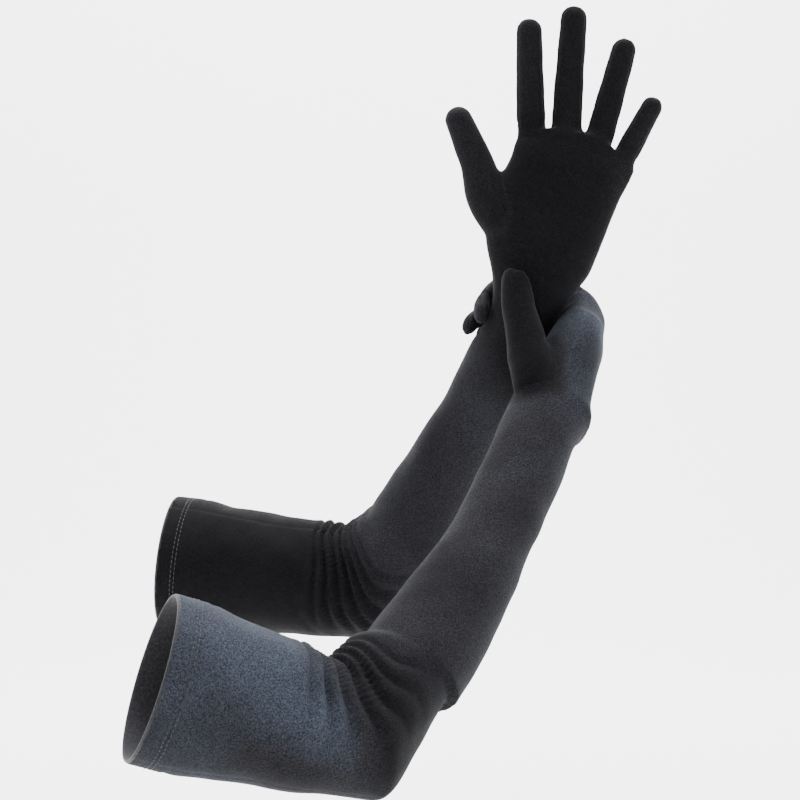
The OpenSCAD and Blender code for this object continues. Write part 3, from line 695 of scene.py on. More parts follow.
def cut(points, tris, columns, field):
    """Splits triangles along the line where field is zero. Near points are moved onto it."""
    field = np.where(np.abs(field) < 1e-9, 1e-9, field)
    edges = edges_of(tris)
    cross = field[edges[:, 0]] * field[edges[:, 1]] < 0
    edges = edges[cross]
    if len(edges) == 0:
        return points, tris, columns
    fa, fb = field[edges[:, 0]], field[edges[:, 1]]
    t = fa / (fa - fb)
    points, columns, field = points.copy(), columns.copy(), field.copy()
    for end, close in ((0, t < 0.2), (1, t > 0.8)):
        pick = edges[close]
        if len(pick) == 0:
            continue
        me, other = pick[:, end], pick[:, 1 - end]
        share = (t[close] if end == 0 else 1 - t[close])[:, None]
        me, first = np.unique(me, return_index=True)
        other, share = other[first], share[first]
        live = field[me] != 0
        me, other, share = me[live], other[live], share[live]
        points[me] += share * (points[other] - points[me])
        columns[me] += share * (columns[other] - columns[me])
        field[me] = 0
    fa, fb = field[edges[:, 0]], field[edges[:, 1]]
    edges = edges[fa * fb < 0]
    fa, fb = field[edges[:, 0]], field[edges[:, 1]]
    t = (fa / (fa - fb))[:, None]
    base = len(points)
    new_points = points[edges[:, 0]] * (1 - t) + points[edges[:, 1]] * t
    new_columns = columns[edges[:, 0]] * (1 - t) + columns[edges[:, 1]] * t
    keys = edges[:, 0].astype(np.int64) * base + edges[:, 1]
    order = np.argsort(keys)
    sorted_keys = keys[order]

    def made(a, b):
        key = np.minimum(a, b).astype(np.int64) * base + np.maximum(a, b)
        return base + order[np.searchsorted(sorted_keys, key)]

    sign = np.sign(field)[tris]
    zeros = (sign == 0).sum(1)
    mixed = (sign.max(1) > 0) & (sign.min(1) < 0)
    keep = [tris[~mixed]]
    pair = tris[mixed & (zeros == 1)]
    if len(pair):
        s = np.sign(field)[pair]
        roll = np.argmax(s == 0, axis=1)
        a, b, c = (pair[np.arange(len(pair)), (roll + k) % 3] for k in range(3))
        m = made(b, c)
        keep += [np.stack([a, b, m], 1), np.stack([a, m, c], 1)]
    full = tris[mixed & (zeros == 0)]
    if len(full):
        s = np.sign(field)[full]
        alone = np.argmax(s == -np.sign(s.sum(1))[:, None], axis=1)
        a, b, c = (full[np.arange(len(full)), (alone + k) % 3] for k in range(3))
        ab, ac = made(a, b), made(a, c)
        keep += [np.stack([a, ab, ac], 1), np.stack([ab, b, c], 1), np.stack([ab, c, ac], 1)]
    return np.vstack([points, new_points]), np.vstack(keep), np.vstack([columns, new_columns])


# ---------------------------------------------------------------- folds
def crease(x, width):
    """A sharp fold line, 1 on the line and 0 well away from it."""
    return np.exp(-(np.abs(x) / width) ** 1.6)


# Where the elbow's folds fan out, as shares of the bend, each with its depth in mm
ELBOW_FOLDS = {
    "left": [(0.10, 1.6), (0.23, 2.6), (0.36, 2.4), (0.49, 2.4), (0.62, 2.2), (0.75, 1.8), (0.88, 1.2)],
    "right": [(0.08, 2.0), (0.22, 3.0), (0.35, 2.2), (0.48, 2.2), (0.61, 2.0), (0.74, 1.8), (0.88, 1.2)],
}


def elbow_relief(arm, station, angle):
    """How far the cloth stands out or sinks in at the elbow: folds that fan from the inner side."""
    f = (station - arm.upper_len + GATHER) / (2 * GATHER)
    inner = (1 - np.cos(angle)) / 2
    spread = ease((inner - 0.08) / 0.5)
    sway = 0.02 * np.sin(2.3 * angle + 4.0 * f) + 0.012 * np.sin(5.1 * angle + 1.3)
    total = np.zeros_like(f)
    for place, depth in ELBOW_FOLDS[arm.side]:
        x = f - place - sway * (1 + place)
        total -= depth * crease(x, 0.028) * spread
        total += 0.42 * depth * crease(np.abs(x) - 0.062, 0.05) * spread
    inside = ease((f + 0.15) / 0.2) * ease((1.15 - f) / 0.2)
    return total * inside


NOISE_WAVES = 7


def soft_noise(points, scale, seed):
    """Smooth undulations made from a few crossed waves."""
    rng = np.random.default_rng(seed)
    total = np.zeros(len(points))
    for _ in range(NOISE_WAVES):
        way = unit(rng.normal(size=3))
        pace = 2 * math.pi / scale * rng.uniform(0.7, 1.4)
        total += np.sin(points @ way * pace + rng.uniform(0, 6.28))
    return total / NOISE_WAVES ** 0.5


# Slanting folds along the sleeves: share of the way along it, angle round, length, slant, depth
DRAPES = {
    "left": [(0.20, 250, 26, 0.5, 0.9), (0.30, 300, 30, -0.4, 0.7), (0.62, 250, 24, 0.6, 0.8),
             (0.70, 280, 28, 0.5, 0.7), (0.93, 262, 22, 0.3, 0.7), (1.05, 250, 24, -0.5, 0.6)],
    "right": [(0.18, 250, 26, 0.5, 0.8), (0.32, 290, 24, -0.5, 0.8), (0.58, 265, 24, 0.6, 0.8),
              (0.72, 240, 26, 0.5, 0.6), (0.88, 280, 22, -0.4, 0.6), (1.1, 262, 20, 0.5, 0.6)],
}


def drape_relief(arm, station, angle):
    total = np.zeros_like(station)
    turn = np.degrees(angle) % 360
    for share, place, reach, slant, depth in DRAPES[arm.side]:
        across = (turn - place + 180) % 360 - 180
        x = station - share * arm.upper_len - slant * across * 0.5
        profile = 0.5 * np.exp(-((x - 3) / 4.0) ** 2) - np.exp(-(x / 2.6) ** 2)
        total += depth * profile * np.exp(-(across / reach) ** 2)
    return total


def hand_coordinates(hand, points):
    """Along the hand, across it to the little finger, and out of the palm."""
    rel = points - hand.wrist
    return rel @ hand.ahead, rel @ hand.little, rel @ hand.palm


# Creases in the open palm: two ends (along, across), width and depth in mm
LEFT_CREASES = [((94, -28), (97, -14), 1.1, 0.45), ((97, -9), (98, 9), 1.1, 0.45),
                ((96, 13), (93, 27), 1.1, 0.45), ((88, 30), (83, 41), 1.1, 0.4),
                ((30, -16), (62, -27), 1.6, 0.55), ((26, -20), (40, -31), 1.6, 0.5),
                ((74, -24), (80, 6), 2.2, 0.35), ((56, -20), (70, 16), 2.4, 0.3),
                ((14, -16), (16, 16), 1.8, 0.55), ((8, -14), (9, 14), 1.6, 0.45)]


def palm_relief(hand, points):
    l, a, h = hand_coordinates(hand, points)
    front = ease((h + 2) / 6)
    total = np.zeros(len(points))
    for (l0, a0), (l1, a1), width, depth in LEFT_CREASES:
        way = np.array([l1 - l0, a1 - a0], float)
        size = np.linalg.norm(way)
        way = way / size
        along = np.clip((l - l0) * way[0] + (a - a0) * way[1], 0, size)
        off = np.hypot(l - l0 - along * way[0], a - a0 - along * way[1])
        fade = ease(along / size * 4 + 0.2) * ease((1 - along / size) * 4 + 0.2)
        total -= depth * np.exp(-(off / width) ** 2) * fade
    # The pads of the palm: under the thumb, under the little finger, and below the fingers
    for l0, a0, wide, high in ((36, -14, 20, 2.4), (34, 20, 20, 1.8), (84, -20, 11, 1.0), (86, 0, 11, 0.9),
                               (85, 20, 11, 0.9), (80, 34, 10, 0.8)):
        total += high * np.exp(-((l - l0) ** 2 + (a - a0) ** 2) / (2 * (wide / 1.6) ** 2))
    total -= 1.6 * np.exp(-((l - 58) ** 2 / 300 + (a - 2) ** 2 / 160))
    return total * front


def back_relief(hand, points):
    """Knuckles and the hollows between them on a hand's back."""
    l, a, h = hand_coordinates(hand, points)
    back = ease((-h - 2) / 8)
    total = np.zeros(len(points))
    for row in FINGERS[hand.arm.side].values():
        total += 1.3 * np.exp(-((l - KNUCKLE_LEN + 1) / 8.0) ** 2 - ((a - row[0]) / 5.5) ** 2)
        total += 0.7 * np.exp(-((a - row[0] * 0.8) / 3.0) ** 2) * ease((l - 30) / 30) * ease((84 - l) / 14)
    return total * back


# How light the pile is painted on the gripping fingers: one even level of painted sheen
FINGER_PAINTED_SHEEN = 0.30
# Painted sheen and shade along each arm, lighter where light falls on it: share of the way from cuff to elbow
# to wrist to palm's end (0, 1, 2, 3), and how light it is painted there
PAINTED_SHEEN_AND_SHADE_ALONG = {
    "left": table([(0, 0.04), (0.5, 0.02), (1.0, 0.06), (1.25, 0.38), (1.6, 0.40), (1.85, 0.32), (2.1, 0.08),
                   (2.6, 0.02), (3.0, 0.04)]),
    "right": table([(0, 1.0), (0.5, 1.0), (0.8, 0.70), (1.05, 0.12), (1.3, 0.36), (1.6, 0.34), (1.9, 0.46),
                    (2.2, 0.48), (2.6, 0.66), (3.0, 0.72)]),
}


def arm_painted_sheen_and_shade(arm, hand, station, angle, thumb_off, points):
    """How light the pile is painted along the arm: painted sheen where light falls on it, painted shade where
    it doesn't.
    """
    upper = arm.upper_len
    wrist = upper + FOREARM_LEN
    share = np.where(station < upper, station / upper, 1 + (station - upper) / FOREARM_LEN)
    share = np.where(station < wrist, share, 2 + (station - wrist) / PALM_LEN)
    painted_sheen_and_shade = PAINTED_SHEEN_AND_SHADE_ALONG[arm.side](np.clip(share, 0, 3))
    # Painted highlight along the upper sleeve's side, and painted shade underneath it
    c = np.cos(angle)
    painted_shade_below = np.where(station < upper, 0.02 + 0.36 * c * c + 0.06 * c, 0)
    painted_sheen_and_shade = painted_sheen_and_shade * (1 - painted_shade_below * (1 - ease((station / upper - 0.7) / 0.3)))
    l, a, _ = hand_coordinates(hand, points)
    if hand.spin > 0:
        # Painted sheen: the left palm is dark in the middle and painted lighter at its edges and fingertips,
        # and the left thumb lighter towards its end
        painted_sheen_and_shade = painted_sheen_and_shade + 0.10 * ease((np.abs(a - 2) - 20) / 22) * (l > 10) + 0.03 * (l > PALM_LEN)
        painted_sheen_and_shade = painted_sheen_and_shade + 0.10 * (1 - thumb_off) * ease((l - 50) / 30)
    else:
        # Painted shade: the right thumb is painted darker than the rest of the hand
        painted_sheen_and_shade = painted_sheen_and_shade * (0.04 + 0.96 * thumb_off)
    return painted_sheen_and_shade * (1 + 0.25 * soft_noise(points, 70, 5))


# ---------------------------------------------------------------- materials
def nodes_of(material):
    material.use_nodes = True
    tree = material.node_tree
    return tree.nodes, tree.links, tree.nodes["Principled BSDF"]


def add_bump(nodes, links, shader, scale, strength, distance, detail=6.0):
    """A fine relief from noise, in the object's own coordinates."""
    place = nodes.new("ShaderNodeTexCoord")
    noise = nodes.new("ShaderNodeTexNoise")
    noise.inputs["Scale"].default_value = scale
    noise.inputs["Detail"].default_value = detail
    noise.inputs["Roughness"].default_value = 0.7
    links.new(place.outputs["Object"], noise.inputs["Vector"])
    bump = nodes.new("ShaderNodeBump")
    bump.inputs["Strength"].default_value = strength
    bump.inputs["Distance"].default_value = distance
    links.new(noise.outputs["Fac"], bump.inputs["Height"])
    links.new(bump.outputs["Normal"], shader.inputs["Normal"])
    return place, noise


def speckled(nodes, links, shader, place, dark, light, scale, low, high):
    """Pile that catches the light in tiny flecks: two colours mixed by a fine noise."""
    noise = nodes.new("ShaderNodeTexNoise")
    noise.inputs["Scale"].default_value = scale
    noise.inputs["Detail"].default_value = 4.0
    noise.inputs["Roughness"].default_value = 0.75
    links.new(place.outputs["Object"], noise.inputs["Vector"])
    ramp = nodes.new("ShaderNodeValToRGB")
    ramp.color_ramp.elements[0].position = low
    ramp.color_ramp.elements[0].color = (*dark, 1)
    ramp.color_ramp.elements[1].position = high
    ramp.color_ramp.elements[1].color = (*light, 1)
    links.new(noise.outputs["Fac"], ramp.inputs["Fac"])
    links.new(ramp.outputs["Color"], shader.inputs["Base Color"])


# Velvet's colour by its painted sheen and shade: dark, middling, and the light bluish painted highlight
PAINTED_SHEEN_AND_SHADE_COLOURS = ((0.0, (0.0022, 0.0021, 0.0028)), (0.45, (0.0100, 0.0101, 0.0120)),
               (1.0, (0.0250, 0.0300, 0.0410)))


def velvet_material():
    """Black pile. A point attribute paints sheen and shade into its colour: lighter where light falls, darker
    where shade falls.
    """
    material = bpy.data.materials.new("black_velvet")
    nodes, links, shader = nodes_of(material)
    place, _ = add_bump(nodes, links, shader, 800.0, 0.5, 0.0008)

    def noise(scale, detail, low, high, least, most):
        texture = nodes.new("ShaderNodeTexNoise")
        texture.inputs["Scale"].default_value = scale
        texture.inputs["Detail"].default_value = detail
        links.new(place.outputs["Object"], texture.inputs["Vector"])
        spread = nodes.new("ShaderNodeMapRange")
        for name, value in (("From Min", low), ("From Max", high), ("To Min", least), ("To Max", most)):
            spread.inputs[name].default_value = value
        links.new(texture.outputs["Fac"], spread.inputs["Value"])
        return spread.outputs["Result"]

    # Large soft patches where the pile has been stroked, and tiny flecks that catch the light
    patches = noise(24.0, 3.0, 0.3, 0.7, 0.84, 1.16)
    flecks = noise(1250.0, 2.0, 0.34, 0.68, 0.45, 1.70)
    # The point attribute of painted sheen and shade picks the colour from the ramp
    painted_sheen_and_shade = nodes.new("ShaderNodeAttribute")
    painted_sheen_and_shade.attribute_name = "painted_sheen_and_shade"
    share = nodes.new("ShaderNodeMath")
    share.operation = "MULTIPLY"
    links.new(painted_sheen_and_shade.outputs["Fac"], share.inputs[0])
    links.new(patches, share.inputs[1])
    ramp = nodes.new("ShaderNodeValToRGB")
    ramp.color_ramp.elements.new(PAINTED_SHEEN_AND_SHADE_COLOURS[1][0])
    for element, (position, colour) in zip(ramp.color_ramp.elements, PAINTED_SHEEN_AND_SHADE_COLOURS):
        element.position = position
        element.color = (*colour, 1)
    links.new(share.outputs["Value"], ramp.inputs["Fac"])
    mix = nodes.new("ShaderNodeMix")
    mix.data_type = "RGBA"
    mix.blend_type = "MULTIPLY"
    mix.inputs["Factor"].default_value = 1.0
    links.new(ramp.outputs["Color"], mix.inputs["A"])
    links.new(flecks, mix.inputs["B"])
    links.new(mix.outputs["Result"], shader.inputs["Base Color"])
    shader.inputs["Roughness"].default_value = 0.8
    shader.inputs["Specular IOR Level"].default_value = 0.05
    shader.inputs["Sheen Weight"].default_value = 0.03
    shader.inputs["Sheen Roughness"].default_value = 0.35
    shader.inputs["Sheen Tint"].default_value = (0.85, 0.9, 1.0, 1)
    return material


def lining_material():
    material = bpy.data.materials.new("velvet_back")
    nodes, links, shader = nodes_of(material)
    place, _ = add_bump(nodes, links, shader, 1200.0, 0.3, 0.0005)
    speckled(nodes, links, shader, place, (0.010, 0.010, 0.012), (0.026, 0.026, 0.031), 700.0, 0.4, 0.7)
    shader.inputs["Roughness"].default_value = 0.9
    shader.inputs["Specular IOR Level"].default_value = 0.15
    shader.inputs["Sheen Weight"].default_value = 0.15
    return material


def thread_material():
    material = bpy.data.materials.new("thread")
    nodes, links, shader = nodes_of(material)
    place, _ = add_bump(nodes, links, shader, 2500.0, 0.3, 0.0002)
    speckled(nodes, links, shader, place, (0.008, 0.008, 0.010), (0.022, 0.022, 0.027), 900.0, 0.4, 0.7)
    shader.inputs["Roughness"].default_value = 0.55
    shader.inputs["Specular IOR Level"].default_value = 0.35
    return material


VELVET = velvet_material()
LINING = lining_material()
THREAD = thread_material()


# ---------------------------------------------------------------- pieces
def make_object(name, points, tris, material):
    mesh = bpy.data.meshes.new(name)
    mesh.from_pydata((points / MM).tolist(), [], tris.tolist())
    mesh.materials.append(material)
    mesh.polygons.foreach_set("use_smooth", np.ones(len(mesh.polygons), bool))
    mesh.update()
    obj = bpy.data.objects.new(name, mesh)
    bpy.context.scene.collection.objects.link(obj)
    return obj


def shell(points, inner, tris):
    """A piece of cloth: its face, its back, and the raw edges between them."""
    used, tris = np.unique(tris, return_inverse=True)
    tris = tris.reshape(-1, 3)
    points, inner = points[used], inner[used]
    count = len(points)
    directed = np.vstack([tris[:, [0, 1]], tris[:, [1, 2]], tris[:, [2, 0]]])
    keys = directed[:, 0].astype(np.int64) * count + directed[:, 1]
    back = directed[:, 1].astype(np.int64) * count + directed[:, 0]
    rim = directed[~np.isin(keys, back)]
    a, b = rim[:, 0], rim[:, 1]
    sides = np.vstack([np.stack([b, a, a + count], 1), np.stack([b, a + count, b + count], 1)])
    return np.vstack([points, inner]), np.vstack([tris, tris[:, ::-1] + count, sides])


def largest_parts(points, tris, least):
    """Leaves out scraps of cloth smaller than least triangles."""
    label = np.arange(len(points))
    edges = edges_of(tris)
    while True:
        low = np.minimum(label[edges[:, 0]], label[edges[:, 1]])
        before = label.copy()
        np.minimum.at(label, edges[:, 0], low)
        np.minimum.at(label, edges[:, 1], low)
        label = label[label]
        if (label == before).all():
            break
    group = label[tris[:, 0]]
    sizes = np.bincount(group, minlength=len(points))
    return sizes[group] >= least


def dress(obj, nodes, body=None, bend=None):
    """Hides the parts that a piece stands for, and attaches it to the body it moves with; a piece given a
    bend has its place baked into its points instead.
    """
    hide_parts(*nodes)
    if bend:
        first, second, start, end = bend
        tuple(np.array(start) / MM)
        tuple(np.array(end) / MM)
        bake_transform(obj)
    else:
        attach(obj, body)


FINGER_NAMES = ("index", "middle", "ring", "little")
# The turns of a finger's two sewing lines on its back; each goes on down its other side
FIRST_SEAM = math.radians(30)
SECOND_SEAM = math.radians(150)
# Each finger's strips: the name, then from and to, in degrees from the little finger's side
STRIPS = {
    "index": (("front", 150, 330), ("back", 30, 150), ("fourchette", 330, 30)),
    "middle": (("front", 210, 330), ("back", 30, 150), ("thumb_side_fourchette", 150, 210),
               ("little_side_fourchette", 330, 30)),
    "ring": (("front", 210, 330), ("back", 30, 150), ("thumb_side_fourchette", 150, 210),
             ("little_side_fourchette", 330, 30)),
    "little": (("front", 210, 30), ("back", 30, 150), ("fourchette", 150, 210)),
}
# How deep and wide a seam sinks in, and the middling radii that turn its angle into mm
SEAM_DEPTH = 0.4
SEAM_WIDTH = 0.9
SLEEVE_R = 24.0
FINGER_R = 7.5


def between(angle, start, end):
    return (angle > start) & (angle < end) if start < end else (angle > start) | (angle < end)


def finger_fields(points, lofts, hand, arm_distance):
    """For each finger: a field that is positive on it, and the fields of its sewing lines."""
    on, first, second = [], [], []
    places = [coordinates(points, loft) for loft in lofts]
    distances = np.stack([c[:, 3] for c in places])
    for k, c in enumerate(places):
        others = np.delete(distances, k, axis=0).min(0)
        nearest = np.minimum(arm_distance + 1.0, others) - c[:, 3]
        on.append(np.where(c[:, 3] < FAR, np.clip(np.minimum(c[:, 0] - 0.5, nearest), -5, 5), -5))
        turn = np.arctan2(c[:, 2], c[:, 1])
        turn = turn if hand.spin > 0 else math.pi / 2 - turn
        near = (c[:, 3] < 6) & (c[:, 0] > -4)
        first.append(np.where(near, np.sin(turn - FIRST_SEAM), 1.0))
        second.append(np.where(near, np.sin(turn - SECOND_SEAM), 1.0))
    return on, first, second


def strip_of(finger, above_first, above_second):
    """The strip between two sewing lines, told from which side of each line it lies on."""
    # Angles that stand for the four quarters: 90 back, 180 thumb side, 270 palm, 0 little side
    angle = 90 if above_first and not above_second else 180 if above_first else 270 if above_second else 0
    for name, start, end in STRIPS[finger]:
        if between(angle + 0.0, start, end) or (angle == 0 and start > end):
            return name
    raise ValueError(finger)


def finish_skin(points, tris, relief_of, seams_of, fields, label_of, cuts, painted_sheen_and_shade_of):
    """Cuts a skin, gives it its folds and seams, and returns its points, lining and labels."""
    for k in cuts:
        points, tris, fields = cut(points, tris, fields, fields[:, k])
    normals = normals_of(points, tris)
    normals = smoothed_field(normals, tris, 2)
    points = points + normals * (relief_of(points, fields) - seams_of(points, fields))[:, None]
    normals = normals_of(points, tris)
    lining = points - WALL * smoothed_field(normals, tris, 3)
    # Seams are painted lighter: a painted highlight along each seam line, on top of the painted sheen and
    # shade
    painted_sheen_and_shade = np.clip(painted_sheen_and_shade_of(points, fields) + 0.3 * seams_of(points, fields), 0, 1)
    return points, lining, normals, tris, label_of(points, tris, fields), painted_sheen_and_shade


def smoothed_field(values, tris, rounds):
    """Unit vectors at the points, each evened out with its neighbours'."""
    mean = averager(tris, len(values))
    for _ in range(rounds):
        values = 0.5 * values + 0.5 * mean(values)
    return values / np.maximum(1e-9, np.linalg.norm(values, axis=1))[:, None]


def add_piece(name, points, lining, normals, tris, material, painted_sheen_and_shade):
    used = np.unique(tris)
    all_points, all_tris = shell(points, lining, tris)
    obj = make_object(name, all_points, all_tris, material)
    obj.data.normals_split_custom_set_from_vertices(np.vstack([normals[used], -normals[used]]).tolist())
    # The painted sheen and shade are stored on the points for the velvet's colour
    layer = obj.data.attributes.new("painted_sheen_and_shade", "FLOAT", "POINT")
    layer.data.foreach_set("value", np.concatenate([painted_sheen_and_shade[used], painted_sheen_and_shade[used]]).astype(np.float32))
    return obj


def groove(distance):
    return SEAM_DEPTH * np.exp(-(distance / SEAM_WIDTH) ** 2)


def glove_skin(arm, hand, palm_start, joined_fingers):
    """The sleeve, palm and thumb, and the fingers too where they stand apart."""
    side = arm.side
    sleeve = arm_loft(arm, hand, palm_start)
    thumb = thumb_loft(hand, THUMBS[side])
    fingers = [finger_loft(hand, name, FINGERS[side][name]) for name in FINGER_NAMES]
    inside = [sleeve, thumb] + (fingers if joined_fingers else [])
    points, tris = remeshed(*joined(inside), VOXEL)
    tris = outward(points, tris)
    points = smoothed(points, tris, 12)
    arm_place = coordinates(points, sleeve)
    thumb_place = coordinates(points, thumb)
    # The angles where thumb and fingers leave the palm are filled in
    fill = np.exp(-((arm_place[:, 3] + thumb_place[:, 3]) / 5.0) ** 2)
    if joined_fingers:
        for loft in fingers:
            c = coordinates(points, loft)
            fill = np.maximum(fill, np.exp(-((c[:, 3] + arm_place[:, 3]) / 4.0) ** 2) * (np.abs(c[:, 0]) < 9))
    points = relaxed(points, tris, 14, fill)
    arm_place, thumb_place = coordinates(points, sleeve), coordinates(points, thumb)
    far = arm_place[:, 3] >= FAR
    station = np.where(far, PAST_END, arm_place[:, 0])
    turn = np.arctan2(arm_place[:, 2], arm_place[:, 1])
    hand_turn = turn if hand.spin > 0 else math.pi / 2 - turn
    near = arm_place[:, 3] < 5
    length = arm.upper_len
    columns = [
        station - MOUTH, station - (length - GATHER), station - (length + GATHER),
        station - (length + FORE_END), station - (length + FOREARM_LEN + palm_start),
        np.where(near & (station < length + FORE_END + 12), np.sin(turn), 1.0),
        np.where(near & (station > length + FOREARM_LEN - 8), -np.sin(hand_turn), 1.0),
        np.minimum(arm_place[:, 3], THUMB_NEAR) - thumb_place[:, 3],
        np.cos(turn), np.sin(turn)]
    firsts = len(columns)
    if joined_fingers:
        on, first, second = finger_fields(points, fingers, hand, arm_place[:, 3])
        columns += on + first + second
    return fingers, points, tris, np.stack(columns, 1), firsts


# Where the cloth ends at the cuff's mouth, and the station of cloth that the sleeve's loft is far from
MOUTH = 0.8
PAST_END = 1000.0
# Cloth farther than this from the thumb's loft isn't the thumb
THUMB_NEAR = 6.0
# Columns of a skin's fields
AT_MOUTH, AT_UPPER, AT_FORE, AT_WRIST, AT_PALM, AT_HALF, AT_SIDE, AT_THUMB, AT_COS, AT_SIN = range(10)


def build_glove(arm, hand, palm_start, joined_fingers, seed):
    side = arm.side
    fingers, points, tris, fields, firsts = glove_skin(arm, hand, palm_start, joined_fingers)
    on = list(range(firsts, firsts + 4)) if joined_fingers else []
    lines_a = list(range(firsts + 4, firsts + 8)) if joined_fingers else []
    lines_b = list(range(firsts + 8, firsts + 12)) if joined_fingers else []

    def relief_of(p, f):
        station = f[:, AT_MOUTH] + MOUTH
        angle = np.arctan2(f[:, AT_SIN], f[:, AT_COS])
        on_hand = ease((station - arm.upper_len - FOREARM_LEN - 2) / 14)
        off_hem = ease((station - HEM_DEPTH) / 14)
        sleeve_part = elbow_relief(arm, station, angle) + drape_relief(arm, station, angle)
        sleeve_part += 0.45 * soft_noise(p, 46, seed) + 0.2 * soft_noise(p, 21, seed + 1)
        # The hem is a double layer: it stands a little proud, and its stitches pull it in
        hem = 0.25 * ease((HEM_DEPTH - station) / 3)
        for row in (0, 1):
            hem -= 0.35 * np.exp(-((station - STITCH_PLACE - row * STITCH_ROWS_GAP) / 0.9) ** 2)
        hem -= 0.25 * np.exp(-((station - HEM_DEPTH) / 1.5) ** 2)
        thumb_off = 1 - ease((f[:, AT_THUMB] + 1) / 3)
        hand_part = (palm_relief(hand, p) if hand.spin > 0 else 0) + back_relief(hand, p)
        hand_part = hand_part * thumb_off + 0.12 * soft_noise(p, 18, seed + 2)
        return sleeve_part * (1 - on_hand) * off_hem + hem * (1 - off_hem) + hand_part * on_hand

    def seams_of(p, f):
        station = f[:, AT_MOUTH] + MOUTH
        depth = groove(f[:, AT_HALF] * SLEEVE_R) * 0.6 * (station < arm.upper_len + FORE_END)
        depth = np.maximum(depth, groove(f[:, AT_SIDE] * SLEEVE_R) * (f[:, AT_PALM] > 4))
        depth = np.maximum(depth, groove(f[:, AT_THUMB]) * 0.9)
        for k in range(len(on)):
            here = f[:, on[k]] > 0
            depth = np.maximum(depth, groove(f[:, lines_a[k]] * FINGER_R) * here)
            depth = np.maximum(depth, groove(f[:, lines_b[k]] * FINGER_R) * here)
        return depth

    def label_of(p, t, f):
        mean = f[t].mean(1)
        labels = np.full(len(t), "", dtype=object)
        half = np.where(mean[:, AT_HALF] > 0, "back", "front")
        labels[:] = [side + "_upper_" + h for h in half]
        labels[mean[:, AT_UPPER] > 0] = side + "_elbow_gathers"
        pick = mean[:, AT_FORE] > 0
        labels[pick] = [side + "_forearm_" + h for h in half[pick]]
        labels[mean[:, AT_WRIST] > 0] = side + "_wrist_gathers"
        pick = mean[:, AT_PALM] > 0
        labels[pick] = [side + ("_palm_panel" if m > 0 else "_back_panel") for m in mean[pick, AT_SIDE]]
        labels[mean[:, AT_THUMB] > 0] = side + "_thumb_panel"
        for k, name in enumerate(FINGER_NAMES[:len(on)]):
            pick = np.where(mean[:, on[k]] > 0)[0]
            above = mean[pick][:, [lines_a[k], lines_b[k]]] > 0
            labels[pick] = [side + "_" + name + "_" + strip_of(name, *pair) for pair in above]
        labels[mean[:, AT_MOUTH] < 0] = ""
        return labels

    cuts = list(range(AT_THUMB + 1)) + on + lines_a + lines_b

    # Painted sheen and shade on the sleeve and hand, lighter where light falls
    def painted_sheen_and_shade_of(p, f):
        station = f[:, AT_MOUTH] + MOUTH
        angle = np.arctan2(f[:, AT_SIN], f[:, AT_COS])
        return arm_painted_sheen_and_shade(arm, hand, station, angle, 1 - ease((f[:, AT_THUMB] + 8) / 10), p)

    skins = [finish_skin(points, tris, relief_of, seams_of, fields, label_of, cuts, painted_sheen_and_shade_of)]
    if not joined_fingers:
        for name, loft in zip(FINGER_NAMES, fingers):
            skins.append(finger_skin(side, name, loft, hand, seed))
    build_pieces(arm, hand, palm_start, fingers, skins)
    add_hem(arm)


def finger_skin(side, name, loft, hand, seed):
    """A finger that stands by itself: its root reaches inside the palm's end."""
    p, t = loft.triangles()
    t = outward(p, t)
    c = coordinates(p, loft)
    turn = np.arctan2(c[:, 2], c[:, 1])
    turn = turn if hand.spin > 0 else math.pi / 2 - turn
    f = np.stack([c[:, 0] + ROOT_LEFT, np.sin(turn - FIRST_SEAM), np.sin(turn - SECOND_SEAM)], 1)

    def relief_of(p, _):
        return 0.15 * soft_noise(p, 14, seed + 5)

    def seams_of(p, f):
        return np.maximum(groove(f[:, 1] * 7), groove(f[:, 2] * 7)) * ease(f[:, 0] / 6)

    def label_of(_, t, f):
        mean = f[t].mean(1)
        return np.array([side + "_" + name + "_" + strip_of(name, m[1] > 0, m[2] > 0) if m[0] > 0 else ""
                         for m in mean], dtype=object)

    # One even level of painted sheen on a separate finger
    def painted_sheen_and_shade_of(p, _):
        return np.full(len(p), FINGER_PAINTED_SHEEN)

    return finish_skin(p, t, relief_of, seams_of, f, label_of, [0, 1, 2], painted_sheen_and_shade_of)


# How much of a separate finger's root is left inside the palm, and two stations along each
# finger whose centres go into its strips' entries in the bends table
ROOT_LEFT = 4.0
BEND_SPAN = (1.5, 15.0)
# The rows of a thumb whose centres go into the thumb panel's entry in the bends table
THUMB_ROWS = (3, 5)
# A scrap of fewer triangles than this is left out
LEAST_PART = 60


